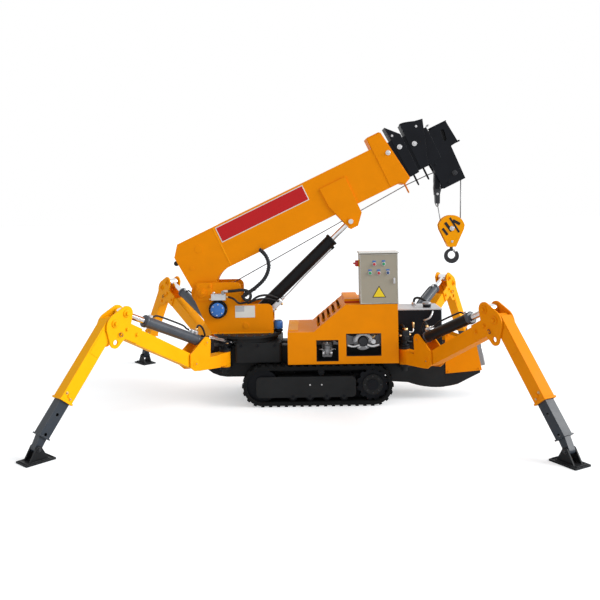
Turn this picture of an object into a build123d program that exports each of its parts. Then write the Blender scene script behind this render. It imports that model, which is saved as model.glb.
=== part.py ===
from build123d import *
from math import atan2, cos, degrees, hypot, pi, radians, sin
import os

os.makedirs("parts", exist_ok=True)

# A small crane on rubber tracks that stands on four folding outriggers, a spider crane of
# the three tonne class. Lengths are millimetres and angles degrees. X runs along the
# machine towards the boom's head, Y across it to its left, Z up, with the ground at zero.
# Places are counted from the middle of the machine, halfway between the outrigger posts.

# Tracks: rubber loops with bar lugs, and what they run on
MACHINE_WIDTH = 800
TRACK_LENGTH = 1424
TRACK_HEIGHT = 385
TRACK_WIDTH = 180
TRACK_MIDDLE_X = 25
LUG_HEIGHT = 12
LUG_LENGTH = 30
LUG_COUNT = 44
BELT_THICKNESS = 30
RUNNING_GAP = 0.3
FRAME_WIDTH = 150
FRAME_WALL = 12
FRAME_FRONT_X = 383
FRAME_REAR_X = -554
FRAME_BOTTOM = 84
FRAME_TOP = 277
ROLLER_RADIUS = 42
ROLLER_XS = (-210, -50, 110, 270)
CARRIER_RADIUS = 30
CARRIER_X = 60
WHEEL_WIDTH = 80
AXLE_RADIUS = 20
SPROCKET_TEETH = 12

# Chassis between the tracks
CORE_WIDTH = 380
CORE_BOTTOM = 285
CORE_TOP = 540
NOSE_X = -1062
TAIL_START_X = 1250
TAIL_TOP = 500
TAIL_X = 1600
TAIL_WIDTH = 360
BELLY_Z = 116
TIE_XS = (-250, 300)
TIE_LENGTH = 110
TIE_BOTTOM = 200
TIE_TOP = 270
PLATFORM_WIDTH = 600
PLATFORM_BOTTOM = 400
PLATFORM_TOP = 585
PLATFORM_REAR_X = -760
PLATFORM_FRONT_X = -315
POST_X = 853.5
POST_Y = 280
POST_RADIUS = 30
POST_TOP = 600
POST_BOTTOM = 300
LUG_PLATE = 25
LUG_PLATE_RADIUS = 55
HUB_BOTTOM = 365
HUB_TOP = 510

# Engine cover, cabinet, tank and tail
HOOD_REAR_X = -252
HOOD_FRONT_X = 790
HOOD_WIDTH = 760
HOOD_BOTTOM = 392
HOOD_STEP_TOP = 696
HOOD_TOP = 948
SLOPE_START_X = -6
SLOPE_END_X = 300
SHEET = 6
LOUVRE_COUNT = 5
LOUVRE_PITCH = 64
LOUVRE_LENGTH = 560
LOUVRE_WIDTH = 30
CABINET_X = 439
CABINET_WIDTH = 358
CABINET_DEPTH = 200
CABINET_TOP = 1440
CABINET_WALL = 4
LID_THICKNESS = 14
LID_OVERHANG = 10
DOOR_THICKNESS = 14
DOOR_GAP = 0.3
TANK_REAR_X = 800
TANK_FRONT_X = 1240
TANK_TOP = 862
TANK_WIDTH = 370
FILLER = (1110, -90)
FILLER_RADIUS = 38
TAIL_PANEL = 8
COOLER_WIDTH = 350
COOLER_DEPTH = 45

# Slewing part: ring, deck and turret plates
SLEW_X = -655
RING_RADIUS = 300
RING_TOP = 630
DECK_RADIUS = 338
DECK_TOP = 656
DECK_GAP = 0.3
TURRET_WIDTH = 330
TURRET_REAR_X = -985
CHEEK = 15
TURRET_FLOOR = 24
DOUBLER = 10
FRONT_PLATE_TOP = 766
PIVOT_X = -1078
PIVOT_Z = 1055
PIVOT_PIN = 32
LIFT_FOOT_X = -658
LIFT_FOOT_Z = 733
LIFT_PIN = 25
DRUM_X = -840
DRUM_Z = 1000
DRUM_RADIUS = 78
DRUM_FLANGE = 108
DRUM_WIDTH = 244
DRUM_AXLE = 25
WINCH_MOTOR = (-926, 897)
VALVE_BLOCK = (-916, 1020)
SLEW_MOTOR = (-350, -60)

# Boom, in its own frame: along the boom and square to it, from the boom pivot
LUFF = 25.2
BOOM_BOTTOM = 112
BOOM_TOP = 534
BOOM_WIDTH = 250
BOOM_WALL = 8
BOOM_START = 355
BOOM_END = 2250
SECTION_STEP = 14
WEAR_PAD = 80
LOBE_RADIUS = 114
LIFT_EYE = (1602, -13)
LIFT_EYE_RADIUS = 40
LIFT_EYE_WIDTH = 90
GUSSET = 14
HEAD_SHEAVE = (2734, -36)
HEAD_SHEAVE_RADIUS = 78
HEAD_PLATES = 128
HEAD_PLATE_THICKNESS = 12
HEAD_AXLE = 18
SHEAVE_WIDTH = 40
ROPE = 8

# Lifting cylinder
LIFT_BARREL_LENGTH = 1185
LIFT_BARREL_RADIUS = 60
LIFT_BORE_RADIUS = 50
LIFT_ROD_RADIUS = 27.5
LIFT_PISTON_PLACE = 600
PISTON_LENGTH = 40
GLAND = 30

# Hook block, counted from the head sheave's axle down
ANCHOR_OFFSET = (-165, 45)
ANCHOR_PIN = 12
SOCKET_LENGTH = 345
SOCKET_WIDTH = 56
BLOCK_OFFSET = -33
BLOCK_DROP = 547
BLOCK_HALF_WIDTH = 127
BLOCK_THICKNESS = 94
BLOCK_PLATE = 12
BLOCK_BOTTOM = -183
BLOCK_SHEAVE_RADIUS = 96
BLOCK_AXLE = 15
CROSSHEAD = 44
HOOK_DROP = 821
HOOK_RADIUS = 73
HOOK_BORE = 38
HOOK_THICKNESS = 30
SHANK_RADIUS = 16
NUT_HEIGHT = 18

# Outriggers: name, side along X, side across Y, swing from the X axis, rise of the arm
# and fall of the leg
OUTRIGGERS = (
    ("rear_right", -1, -1, 49.2, 27.6, 52.1),
    ("front_right", 1, -1, 60.5, 27.7, 52.9),
    ("rear_left", -1, 1, 48.1, 29.3, 57.8),
    ("front_left", 1, 1, 54.0, 28.6, 57.3),
)
HUB_RADIUS = 50
BAR_WIDTH = 100
BAR_BOTTOM = 388
BAR_TOP = 505
BRACKET_WIDTH = 155
BRACKET_PLATE = 12
BRACKET_REAR = 130
BRACKET_INNER = 255
BRACKET_OUTER = 490
WEB_END = 270
LOBE_SIZE = 50
ARM_PIN = (428, 475)
CYLINDER_PIN = (297, 648)
ARM_WIDTH = 120
ARM_WALL = 8
ARM_KNUCKLE = 50
KNEE = (963, 30)
ROD_PIN = (896, 144)
FREE_HOLE = (892, -106)
HEAD_BACK = (918, 20)
HEAD_SIZES = (62, 50, 115)
HEAD_PLATE = 12
HEAD_REAR = 690
PIN_RADIUS = 20
PIN_END = 6
FREE_HOLE_RADIUS = 21
JACK_BARREL = 690
JACK_RADIUS = 47.5
JACK_BORE = 39
JACK_ROD = 27.5
JACK_PISTON_PLACE = 400
JACK_EYE_RADIUS = 40
JACK_EYE_WIDTH = 84
LEG_HEAD_RADIUS = 50
LEG_HEAD_LENGTH = 90
LEG_DEPTH = 112
LEG_WIDTH = 108
LEG_WALL = 8
LEG_LENGTH = 704
LEG_OFFSET = 14
LEG_COLLAR = 14
COLLAR_RIM = 7
INNER_DEPTH = 90
INNER_WIDTH = 84
INNER_LENGTH = 600
INNER_WALL = 7
HOLE_PITCH = 160
HOLE_COUNT = 4
HOLE_RADIUS = 13
ANKLE = 97
ANKLE_PLATE = 10
FOOT_PIN = 14
FOOT_PIN_HEIGHT = 95
FOOT_LENGTH = 236
FOOT_WIDTH = 160
FOOT_PLATE = 14
FOOT_CHEEK = 12
FOOT_LUG = 60


def turned(point, angle):
    """Turn a point about zero."""
    x, z = point
    turn = radians(angle)
    return x * cos(turn) - z * sin(turn), x * sin(turn) + z * cos(turn)


def arm_point(leg, point):
    """Reach and height of a point that is given along and square to the arm."""
    reach, height = turned(point, leg[4])
    return ARM_PIN[0] + reach, ARM_PIN[1] + height


def leg_length(leg):
    """Length from the knee pin to the foot pin of an outrigger that stands on the ground."""
    return (arm_point(leg, KNEE)[1] - FOOT_PIN_HEIGHT) / sin(radians(leg[5]))


def heading(leg):
    """Heading of an outrigger seen from above, counted from X."""
    return leg[2] * leg[3] if leg[1] > 0 else 180 - leg[2] * leg[3]


def foot_middle(leg):
    """Place of a foot on the ground."""
    reach = arm_point(leg, KNEE)[0] + leg_length(leg) * cos(radians(leg[5]))
    ahead = radians(heading(leg))
    return leg[1] * POST_X + reach * cos(ahead), leg[2] * POST_Y + reach * sin(ahead)


FEET = [foot_middle(leg) for leg in OUTRIGGERS]
STAND_X = (min(x for x, y in FEET) + max(x for x, y in FEET)) / 2
STAND_Y = (min(y for x, y in FEET) + max(y for x, y in FEET)) / 2


def flat(x, y, z):
    """Level plane at a place on the machine."""
    return Plane(origin=(x - STAND_X, y - STAND_Y, z), x_dir=(1, 0, 0), z_dir=(0, 0, 1))


def upright(x, y, z, heading=0, rise=0):
    """Upright plane whose own x runs along the heading and rises by an angle."""
    ahead = Vector(cos(radians(heading)), sin(radians(heading)), 0)
    run = ahead * cos(radians(rise)) + Vector(0, 0, sin(radians(rise)))
    across = Vector(sin(radians(heading)), -cos(radians(heading)), 0)
    return Plane(origin=(x - STAND_X, y - STAND_Y, z), x_dir=run, z_dir=across)


def leg_plane(leg, point=(0, 0), rise=0):
    """Upright plane of an outrigger, with its zero at a reach and height from the post."""
    ahead = radians(heading(leg))
    post_x = leg[1] * POST_X + point[0] * cos(ahead)
    post_y = leg[2] * POST_Y + point[0] * sin(ahead)
    return upright(post_x, post_y, point[1], heading(leg), rise)


def end_on(plane, distance):
    """Plane square to another plane's own x, at a distance along it."""
    return Plane(
        origin=plane.origin + plane.x_dir * distance, x_dir=-plane.z_dir, z_dir=plane.x_dir,
    )


def boom_plane(y=0):
    """Upright plane along the boom, with its zero at the boom pivot."""
    return upright(PIVOT_X, y, PIVOT_Z, rise=LUFF)


def boom_point(point):
    """Place on the machine of a point that is given in the boom's frame."""
    x, z = turned(point, LUFF)
    return PIVOT_X + x, PIVOT_Z + z


def barrel_outline(length, radius, bore, rod):
    """Half section of a cylinder barrel from its closed end to its gland."""
    start = radius
    return (
        (start, 0), (start, radius), (length, radius), (length, rod + RUNNING_GAP),
        (length - GLAND, rod + RUNNING_GAP), (length - GLAND, bore), (start + GLAND, bore),
        (start + GLAND, 0),
    )


def rod_outline(piston, length, bore, rod):
    """Half section of a piston with its rod."""
    return (
        (piston, 0), (piston, bore - RUNNING_GAP), (piston + PISTON_LENGTH, bore - RUNNING_GAP),
        (piston + PISTON_LENGTH, rod), (length, rod), (length, 0),
    )


def sheave_outline(radius, bore):
    """Half section of a grooved sheave."""
    edge = SHEAVE_WIDTH / 2
    return (
        (bore + RUNNING_GAP, -edge), (radius, -edge), (radius, 6 - edge), (radius - ROPE, -ROPE / 2),
        (radius - ROPE, ROPE / 2), (radius, edge - 6), (radius, edge), (bore + RUNNING_GAP, edge),
    )


# Tracks
half_loop = (TRACK_LENGTH - TRACK_HEIGHT) / 2
belt_radius = TRACK_HEIGHT / 2 - LUG_HEIGHT
inner_radius = belt_radius - BELT_THICKNESS
track_y = (MACHINE_WIDTH - TRACK_WIDTH) / 2


def loop_place(share, radius):
    """Place and turn at a share of the way round the loop, a radius from its wheels."""
    length = 4 * half_loop + 2 * pi * radius
    way = (share % 1) * length
    if way < 2 * half_loop:
        return Location((way - half_loop, -radius, 0))
    way -= 2 * half_loop
    if way < pi * radius:
        turn = way / radius
        spot = (half_loop + radius * sin(turn), -radius * cos(turn), 0)
        return Location(spot, (0, 0, degrees(turn)))
    way -= pi * radius
    if way < 2 * half_loop:
        return Location((half_loop - way, radius, 0))
    turn = (way - 2 * half_loop) / radius
    spot = (-half_loop - radius * sin(turn), radius * cos(turn), 0)
    return Location(spot, (0, 0, degrees(turn)))


for side, hand in ((-1, "right"), (1, "left")):
    with BuildPart() as track:
        with BuildSketch(upright(TRACK_MIDDLE_X, side * track_y, TRACK_HEIGHT / 2)):
            SlotCenterToCenter(2 * half_loop, 2 * belt_radius)
            SlotCenterToCenter(2 * half_loop, 2 * inner_radius, mode=Mode.SUBTRACT)
        extrude(amount=TRACK_WIDTH / 2, both=True)
        for row in (0, 1):
            row_y = side * track_y + (row - 0.5) * TRACK_WIDTH / 2
            lugs = [
                loop_place((index + row / 2) / LUG_COUNT, belt_radius + LUG_HEIGHT / 2 - 1)
                for index in range(LUG_COUNT)
            ]
            with BuildSketch(upright(TRACK_MIDDLE_X, row_y, TRACK_HEIGHT / 2)):
                with Locations(*lugs):
                    Rectangle(LUG_LENGTH, LUG_HEIGHT + 2)
            extrude(amount=TRACK_WIDTH / 4, both=True)
    track.part.label = f"track_{hand}"
    export_step(track.part, f"parts/track_{hand}.step")

wheel_radius = inner_radius - RUNNING_GAP
idler_x = TRACK_MIDDLE_X - half_loop
sprocket_x = TRACK_MIDDLE_X + half_loop
wheel_z = TRACK_HEIGHT / 2
roller_z = wheel_z - wheel_radius + ROLLER_RADIUS
carrier_z = wheel_z + wheel_radius - CARRIER_RADIUS
with BuildPart() as track_frames:
    for side in (-1, 1):
        with BuildSketch(upright(0, side * track_y, 0)):
            with Locations(((FRAME_FRONT_X + FRAME_REAR_X) / 2, (FRAME_BOTTOM + FRAME_TOP) / 2)):
                RectangleRounded(FRAME_FRONT_X - FRAME_REAR_X, FRAME_TOP - FRAME_BOTTOM, 40)
        extrude(amount=FRAME_WIDTH / 2, both=True)
        with BuildSketch(upright(0, side * track_y, 0)):
            with Locations(((FRAME_FRONT_X + FRAME_REAR_X) / 2, FRAME_BOTTOM)):
                Rectangle(
                    FRAME_FRONT_X - FRAME_REAR_X + 2,
                    2 * (FRAME_TOP - FRAME_BOTTOM - FRAME_WALL),
                )
            with Locations((idler_x, wheel_z)):
                Circle(wheel_radius + 12)
        extrude(amount=FRAME_WIDTH / 2 - FRAME_WALL, both=True, mode=Mode.SUBTRACT)
        with BuildSketch(upright(0, side * track_y, 0)):
            with Locations(*[(x, roller_z) for x in ROLLER_XS], (idler_x, wheel_z)):
                Circle(AXLE_RADIUS)
        extrude(amount=FRAME_WIDTH / 2 - 2, both=True)
        inner_y = side * (track_y - FRAME_WIDTH / 2 + FRAME_WALL / 2)
        with BuildSketch(upright(0, inner_y, 0)):
            with Locations(((FRAME_FRONT_X + sprocket_x) / 2 - 30, wheel_z)):
                Rectangle(sprocket_x - FRAME_FRONT_X + 60, 150)
            with Locations((sprocket_x, wheel_z)):
                Circle(100)
        extrude(amount=FRAME_WALL / 2, both=True)
        with BuildSketch(upright(sprocket_x, side * (track_y - 10), wheel_z)):
            Circle(60)
        extrude(amount=FRAME_WIDTH / 2 - 12, both=True)
        with BuildSketch(upright(CARRIER_X, inner_y, 0)):
            with Locations((0, (FRAME_TOP + carrier_z) / 2 - 5)):
                Rectangle(50, carrier_z - FRAME_TOP + 10)
            with Locations((0, carrier_z)):
                Circle(25)
        extrude(amount=FRAME_WALL / 2, both=True)
        with BuildSketch(upright(CARRIER_X, inner_y, carrier_z)):
            Circle(12)
        extrude(amount=-side * 110)
        with BuildSketch(upright(sprocket_x, side * (track_y + 51), wheel_z)):
            Circle(95)
        extrude(amount=9, both=True)
track_frames.part.label = "track_frames"
export_step(track_frames.part, "parts/track_frames.step")

with BuildPart() as track_rollers:
    for side in (-1, 1):
        with BuildSketch(upright(0, side * track_y, 0)):
            with Locations(*[(x, roller_z) for x in ROLLER_XS]):
                Circle(ROLLER_RADIUS)
                Circle(AXLE_RADIUS + RUNNING_GAP, mode=Mode.SUBTRACT)
            with Locations((idler_x, wheel_z)):
                Circle(wheel_radius)
                Circle(AXLE_RADIUS + RUNNING_GAP, mode=Mode.SUBTRACT)
        extrude(amount=WHEEL_WIDTH / 2, both=True)
        with BuildSketch(upright(sprocket_x, side * track_y, wheel_z)):
            Circle(wheel_radius)
            Circle(60 + RUNNING_GAP, mode=Mode.SUBTRACT)
            with PolarLocations(wheel_radius, SPROCKET_TEETH):
                Circle(18, mode=Mode.SUBTRACT)
        extrude(amount=WHEEL_WIDTH / 2, both=True)
        with BuildSketch(upright(CARRIER_X, side * (track_y + 10), carrier_z)):
            Circle(CARRIER_RADIUS)
            Circle(12 + RUNNING_GAP, mode=Mode.SUBTRACT)
        extrude(amount=35, both=True)
track_rollers.part.label = "track_rollers"
export_step(track_rollers.part, "parts/track_rollers.step")

# Chassis: core with its nose and belly, platform for the ring, ties to the track frames,
# and the lugs and posts that carry the outriggers
with BuildPart() as chassis_frame:
    with BuildSketch(upright(0, 0, 0)):
        with BuildLine():
            Polyline(
                (NOSE_X, 345), (NOSE_X, CORE_TOP), (TAIL_START_X, CORE_TOP),
                (TAIL_START_X, TAIL_TOP), (TAIL_X - 30, TAIL_TOP), (TAIL_X, 310),
                (TAIL_X, 245), (1490, 192), (1380, 138),
            )
            ThreePointArc((1380, 138), (1110, BELLY_Z), (900, 165))
            Polyline((900, 165), (720, 178), (700, CORE_BOTTOM), (-870, CORE_BOTTOM))
            ThreePointArc((-870, CORE_BOTTOM), (-975, 300), (NOSE_X, 345))
        make_face()
    extrude(amount=CORE_WIDTH / 2, both=True)
    with BuildSketch(flat(TAIL_START_X, 0, 0)):
        for side in (-1, 1):
            with Locations((0, side * (CORE_WIDTH + TAIL_WIDTH) / 4)):
                Rectangle(TAIL_X, (CORE_WIDTH - TAIL_WIDTH) / 2, align=(Align.MIN, Align.CENTER))
    extrude(amount=CORE_TOP, mode=Mode.SUBTRACT)
    with BuildSketch(flat((PLATFORM_FRONT_X + PLATFORM_REAR_X) / 2, 0, PLATFORM_BOTTOM)):
        RectangleRounded(PLATFORM_FRONT_X - PLATFORM_REAR_X, PLATFORM_WIDTH, 30)
    extrude(amount=PLATFORM_TOP - PLATFORM_BOTTOM)
    with BuildSketch(upright(0, 0, 0)):
        for x in TIE_XS:
            with Locations((x, (TIE_TOP + TIE_BOTTOM) / 2)):
                Rectangle(TIE_LENGTH, TIE_TOP - TIE_BOTTOM)
    extrude(amount=track_y - FRAME_WIDTH / 2, both=True)
    with BuildSketch(upright(0, 0, 0)):
        for x in TIE_XS:
            with Locations((x, TIE_BOTTOM)):
                Rectangle(TIE_LENGTH, CORE_BOTTOM - TIE_BOTTOM + 5, align=(Align.CENTER, Align.MIN))
    extrude(amount=CORE_WIDTH / 2, both=True)
    for end in (-1, 1):
        for side in (-1, 1):
            for plate_z in (HUB_BOTTOM - RUNNING_GAP - LUG_PLATE, HUB_TOP + RUNNING_GAP):
                with BuildSketch(flat(end * POST_X, 0, plate_z)):
                    with Locations((0, side * POST_Y / 2)):
                        Rectangle(2 * LUG_PLATE_RADIUS, POST_Y)
                    with Locations((0, side * POST_Y)):
                        Circle(LUG_PLATE_RADIUS)
                extrude(amount=LUG_PLATE)
            with BuildSketch(flat(end * POST_X, side * POST_Y, POST_BOTTOM)):
                Circle(POST_RADIUS)
            extrude(amount=POST_TOP - POST_BOTTOM)
chassis_frame.part.label = "chassis_frame"
export_step(chassis_frame.part, "parts/chassis_frame.step")

with BuildPart() as slew_ring:
    with BuildSketch(flat(SLEW_X, 0, PLATFORM_TOP)):
        Circle(RING_RADIUS)
        Circle(RING_RADIUS - 70, mode=Mode.SUBTRACT)
    extrude(amount=RING_TOP - PLATFORM_TOP)
slew_ring.part.label = "slew_ring"
export_step(slew_ring.part, "parts/slew_ring.step")

# Engine cover: a folded sheet box astride the core, with a low step, a louvred slope and
# two windows a side
HOOD_SIDE = (
    (HOOD_REAR_X, HOOD_BOTTOM), (HOOD_REAR_X, HOOD_STEP_TOP), (SLOPE_START_X, HOOD_STEP_TOP),
    (SLOPE_END_X, HOOD_TOP), (HOOD_FRONT_X, HOOD_TOP), (HOOD_FRONT_X, HOOD_BOTTOM),
)
# Windows: middle along X, middle height, length, height
WINDOWS = ((122, 519, 203, 194), (464, 570, 325, 206))
slope_run = SLOPE_END_X - SLOPE_START_X
slope_rise = HOOD_TOP - HOOD_STEP_TOP
slope_plane = Plane(
    origin=(
        (SLOPE_START_X + SLOPE_END_X) / 2 - STAND_X, -STAND_Y, (HOOD_STEP_TOP + HOOD_TOP) / 2,
    ),
    x_dir=(slope_run, 0, slope_rise), z_dir=(-slope_rise, 0, slope_run),
)
with BuildPart() as hood:
    with BuildSketch(upright(0, 0, 0)):
        Polygon(*HOOD_SIDE, align=None)
    extrude(amount=HOOD_WIDTH / 2, both=True)
    with BuildSketch(upright(0, 0, 0)):
        Polygon(*HOOD_SIDE, align=None)
        offset(amount=-SHEET, kind=Kind.INTERSECTION, mode=Mode.REPLACE)
        with Locations(((HOOD_REAR_X + HOOD_FRONT_X) / 2, HOOD_BOTTOM)):
            Rectangle(HOOD_FRONT_X - HOOD_REAR_X - 2 * SHEET, 4 * SHEET)
    extrude(amount=HOOD_WIDTH / 2 - SHEET, both=True, mode=Mode.SUBTRACT)
    with BuildSketch(flat((HOOD_REAR_X + HOOD_FRONT_X) / 2, 0, 0)):
        Rectangle(HOOD_FRONT_X - HOOD_REAR_X + 2 * SHEET, CORE_WIDTH)
    extrude(amount=CORE_TOP, mode=Mode.SUBTRACT)
    with BuildSketch(upright(0, 0, 0)):
        for x, z, length, height in WINDOWS:
            with Locations((x, z)):
                RectangleRounded(length, height, 12)
    extrude(amount=HOOD_WIDTH / 2 + SHEET, both=True, mode=Mode.SUBTRACT)
    with BuildSketch(slope_plane):
        with GridLocations(LOUVRE_PITCH, LOUVRE_LENGTH, LOUVRE_COUNT, 1):
            SlotOverall(LOUVRE_LENGTH, LOUVRE_WIDTH, rotation=90)
    extrude(amount=2 * SHEET, both=True, mode=Mode.SUBTRACT)
hood.part.label = "hood"
export_step(hood.part, "parts/hood.step")

# Engine behind the long window, with its round housing towards each side, and the pump
# behind the short one
ENGINE_X = 464
ENGINE_LENGTH = 560
ENGINE_TOP = 800
with BuildPart() as engine:
    with BuildSketch(flat(ENGINE_X, 0, CORE_TOP)):
        Rectangle(ENGINE_LENGTH, CORE_WIDTH)
    extrude(amount=ENGINE_TOP - CORE_TOP)
    for side in (-1, 1):
        with BuildSketch(upright(ENGINE_X, side * CORE_WIDTH / 2, 590)):
            Circle(92)
        extrude(amount=-side * 80)
        with BuildSketch(upright(ENGINE_X, side * CORE_WIDTH / 2, 590)):
            Circle(42)
        extrude(amount=-side * 130)
engine.part.label = "engine"
export_step(engine.part, "parts/engine.step")

with BuildPart() as pumps:
    for side in (-1, 1):
        with BuildSketch(upright(122, side * CORE_WIDTH / 2, 500)):
            RectangleRounded(96, 130, 14)
        extrude(amount=-side * 70)
        with BuildSketch(upright(122, side * CORE_WIDTH / 2, 500)):
            Circle(40)
        extrude(amount=-side * 120)
pumps.part.label = "pumps"
export_step(pumps.part, "parts/pumps.step")

# Control cabinet on the hood, a hollow box with a lid, and its door
cabinet_x = CABINET_X + CABINET_WIDTH / 2
cabinet_y = -HOOD_WIDTH / 2 + CABINET_DEPTH / 2
cabinet_top = CABINET_TOP - LID_THICKNESS
cabinet_z = (HOOD_TOP + cabinet_top) / 2
cabinet_height = cabinet_top - HOOD_TOP
with BuildPart() as control_cabinet:
    with BuildSketch(upright(cabinet_x, cabinet_y + CABINET_DEPTH / 2, cabinet_z)):
        Rectangle(CABINET_WIDTH, cabinet_height)
    extrude(amount=CABINET_DEPTH - DOOR_THICKNESS - DOOR_GAP)
    with BuildSketch(upright(cabinet_x, cabinet_y + CABINET_DEPTH / 2 - CABINET_WALL, cabinet_z)):
        Rectangle(CABINET_WIDTH - 2 * CABINET_WALL, cabinet_height - 2 * CABINET_WALL)
    extrude(amount=CABINET_DEPTH, mode=Mode.SUBTRACT)
    with BuildSketch(flat(cabinet_x, cabinet_y, cabinet_top)):
        Rectangle(CABINET_WIDTH + 2 * LID_OVERHANG, CABINET_DEPTH + 2 * LID_OVERHANG)
    extrude(amount=LID_THICKNESS)
control_cabinet.part.label = "control_cabinet"
export_step(control_cabinet.part, "parts/control_cabinet.step")

with BuildPart() as cabinet_door:
    with BuildSketch(upright(cabinet_x, -HOOD_WIDTH / 2 + DOOR_THICKNESS, cabinet_z)):
        Rectangle(CABINET_WIDTH, cabinet_height - 2 * CABINET_WALL)
    extrude(amount=DOOR_THICKNESS)
cabinet_door.part.label = "cabinet_door"
export_step(cabinet_door.part, "parts/cabinet_door.step")

# Tank in front of the hood, and the tail with its side panels and cooler
with BuildPart() as tank:
    with BuildSketch(flat((TANK_REAR_X + TANK_FRONT_X) / 2, 0, CORE_TOP)):
        RectangleRounded(TANK_FRONT_X - TANK_REAR_X, TANK_WIDTH, 20)
    extrude(amount=TANK_TOP - CORE_TOP)
    with BuildSketch(flat(*FILLER, TANK_TOP)):
        Circle(FILLER_RADIUS)
    extrude(amount=40)
tank.part.label = "tank"
export_step(tank.part, "parts/tank.step")

with BuildPart() as tail_panels:
    for side in (-1, 1):
        with BuildSketch(upright(0, side * (TAIL_WIDTH + TAIL_PANEL) / 2, 0)):
            Polygon((1265, 242), (1265, 635), (1566, 524), (1615, 270), align=None)
        extrude(amount=TAIL_PANEL / 2, both=True)
tail_panels.part.label = "tail_panels"
export_step(tail_panels.part, "parts/tail_panels.step")

with BuildPart() as cooler:
    with BuildSketch(upright(0, 0, 0)):
        Polygon(
            (TAIL_X, 310), (TAIL_X - 36, 538), (TAIL_X - 36 + COOLER_DEPTH, 545),
            (TAIL_X + COOLER_DEPTH, 317), align=None,
        )
    extrude(amount=COOLER_WIDTH / 2, both=True)
cooler.part.label = "cooler"
export_step(cooler.part, "parts/cooler.step")

# Slewing deck and the turret's two cheeks, with the pins of the boom, the lifting cylinder
# and the winch
with BuildPart() as slew_deck:
    with BuildSketch(flat(SLEW_X, 0, RING_TOP + DECK_GAP)):
        Circle(DECK_RADIUS)
    extrude(amount=DECK_TOP - RING_TOP - DECK_GAP)
slew_deck.part.label = "slew_deck"
export_step(slew_deck.part, "parts/slew_deck.step")

with BuildPart() as turret:
    with BuildSketch(upright(0, 0, 0)) as turret_side:
        Polygon(
            (-1135, 1155), (-701, 1155), (-701, 940), (-394, 940), (-394, DECK_TOP),
            (TURRET_REAR_X, DECK_TOP), (TURRET_REAR_X - 68, 757), (-1165, 1010), align=None,
        )
        for corner, radius in (((-701, 1155), 55), ((-394, 940), 60), ((-1135, 1155), 20)):
            fillet(turret_side.vertices().sort_by_distance(corner)[0], radius)
    extrude(amount=TURRET_WIDTH / 2, both=True)
    with BuildSketch(upright(0, 0, DECK_TOP + TURRET_FLOOR)):
        with Locations((PIVOT_X - 200, 0)):
            Rectangle(1000, 600, align=(Align.MIN, Align.MIN))
    extrude(amount=TURRET_WIDTH / 2 - CHEEK, both=True, mode=Mode.SUBTRACT)
    with BuildSketch(upright(0, 0, 0)):
        Polygon(
            (-394, DECK_TOP), (-394, FRONT_PLATE_TOP), (-410, FRONT_PLATE_TOP), (-410, DECK_TOP),
            align=None,
        )
        Polygon(
            (TURRET_REAR_X, DECK_TOP), (TURRET_REAR_X - 68, 757), (-1106, 887), (-1093, 887),
            (TURRET_REAR_X - 55, 757), (TURRET_REAR_X + 13, DECK_TOP), align=None,
        )
    extrude(amount=TURRET_WIDTH / 2, both=True)
    for side in (-1, 1):
        with BuildSketch(upright(PIVOT_X + 15, side * (TURRET_WIDTH + DOUBLER) / 2, PIVOT_Z + 12)):
            RectangleRounded(145, 172, 20)
        extrude(amount=DOUBLER / 2, both=True)
    with BuildSketch(upright(PIVOT_X, 0, PIVOT_Z)):
        Circle(PIVOT_PIN)
    extrude(amount=TURRET_WIDTH / 2 + 2 * DOUBLER, both=True)
    with BuildSketch(upright(LIFT_FOOT_X, 0, LIFT_FOOT_Z)):
        Circle(LIFT_PIN)
    extrude(amount=TURRET_WIDTH / 2 + PIN_END, both=True)
    with BuildSketch(upright(DRUM_X, 0, DRUM_Z)):
        Circle(DRUM_AXLE)
    extrude(amount=TURRET_WIDTH / 2, both=True)
turret.part.label = "turret"
export_step(turret.part, "parts/turret.step")

drum_edge = DRUM_WIDTH / 2
drum_inner = drum_edge - 12
with BuildPart() as winch_drum:
    with BuildSketch(flat(DRUM_X, 0, DRUM_Z)):
        Polygon(
            (DRUM_AXLE + RUNNING_GAP, -drum_edge), (DRUM_FLANGE, -drum_edge),
            (DRUM_FLANGE, -drum_inner), (DRUM_RADIUS, -drum_inner), (DRUM_RADIUS, drum_inner),
            (DRUM_FLANGE, drum_inner), (DRUM_FLANGE, drum_edge),
            (DRUM_AXLE + RUNNING_GAP, drum_edge), align=None,
        )
    revolve(axis=Axis(flat(DRUM_X, 0, DRUM_Z).origin, (0, 1, 0)))
winch_drum.part.label = "winch_drum"
export_step(winch_drum.part, "parts/winch_drum.step")

turret_face = -TURRET_WIDTH / 2
with BuildPart() as drive_motors:
    with BuildSketch(upright(WINCH_MOTOR[0], turret_face, WINCH_MOTOR[1])):
        Circle(90)
    extrude(amount=30)
    with BuildSketch(upright(WINCH_MOTOR[0], turret_face, WINCH_MOTOR[1])):
        Circle(65)
    extrude(amount=62)
    with BuildSketch(flat(*SLEW_MOTOR, DECK_TOP)):
        Circle(34)
    extrude(amount=110)
drive_motors.part.label = "drive_motors"
export_step(drive_motors.part, "parts/drive_motors.step")

with BuildPart() as valve_block:
    with BuildSketch(upright(VALVE_BLOCK[0], turret_face, VALVE_BLOCK[1])):
        Rectangle(140, 62)
    extrude(amount=60)
valve_block.part.label = "valve_block"
export_step(valve_block.part, "parts/valve_block.step")

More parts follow.
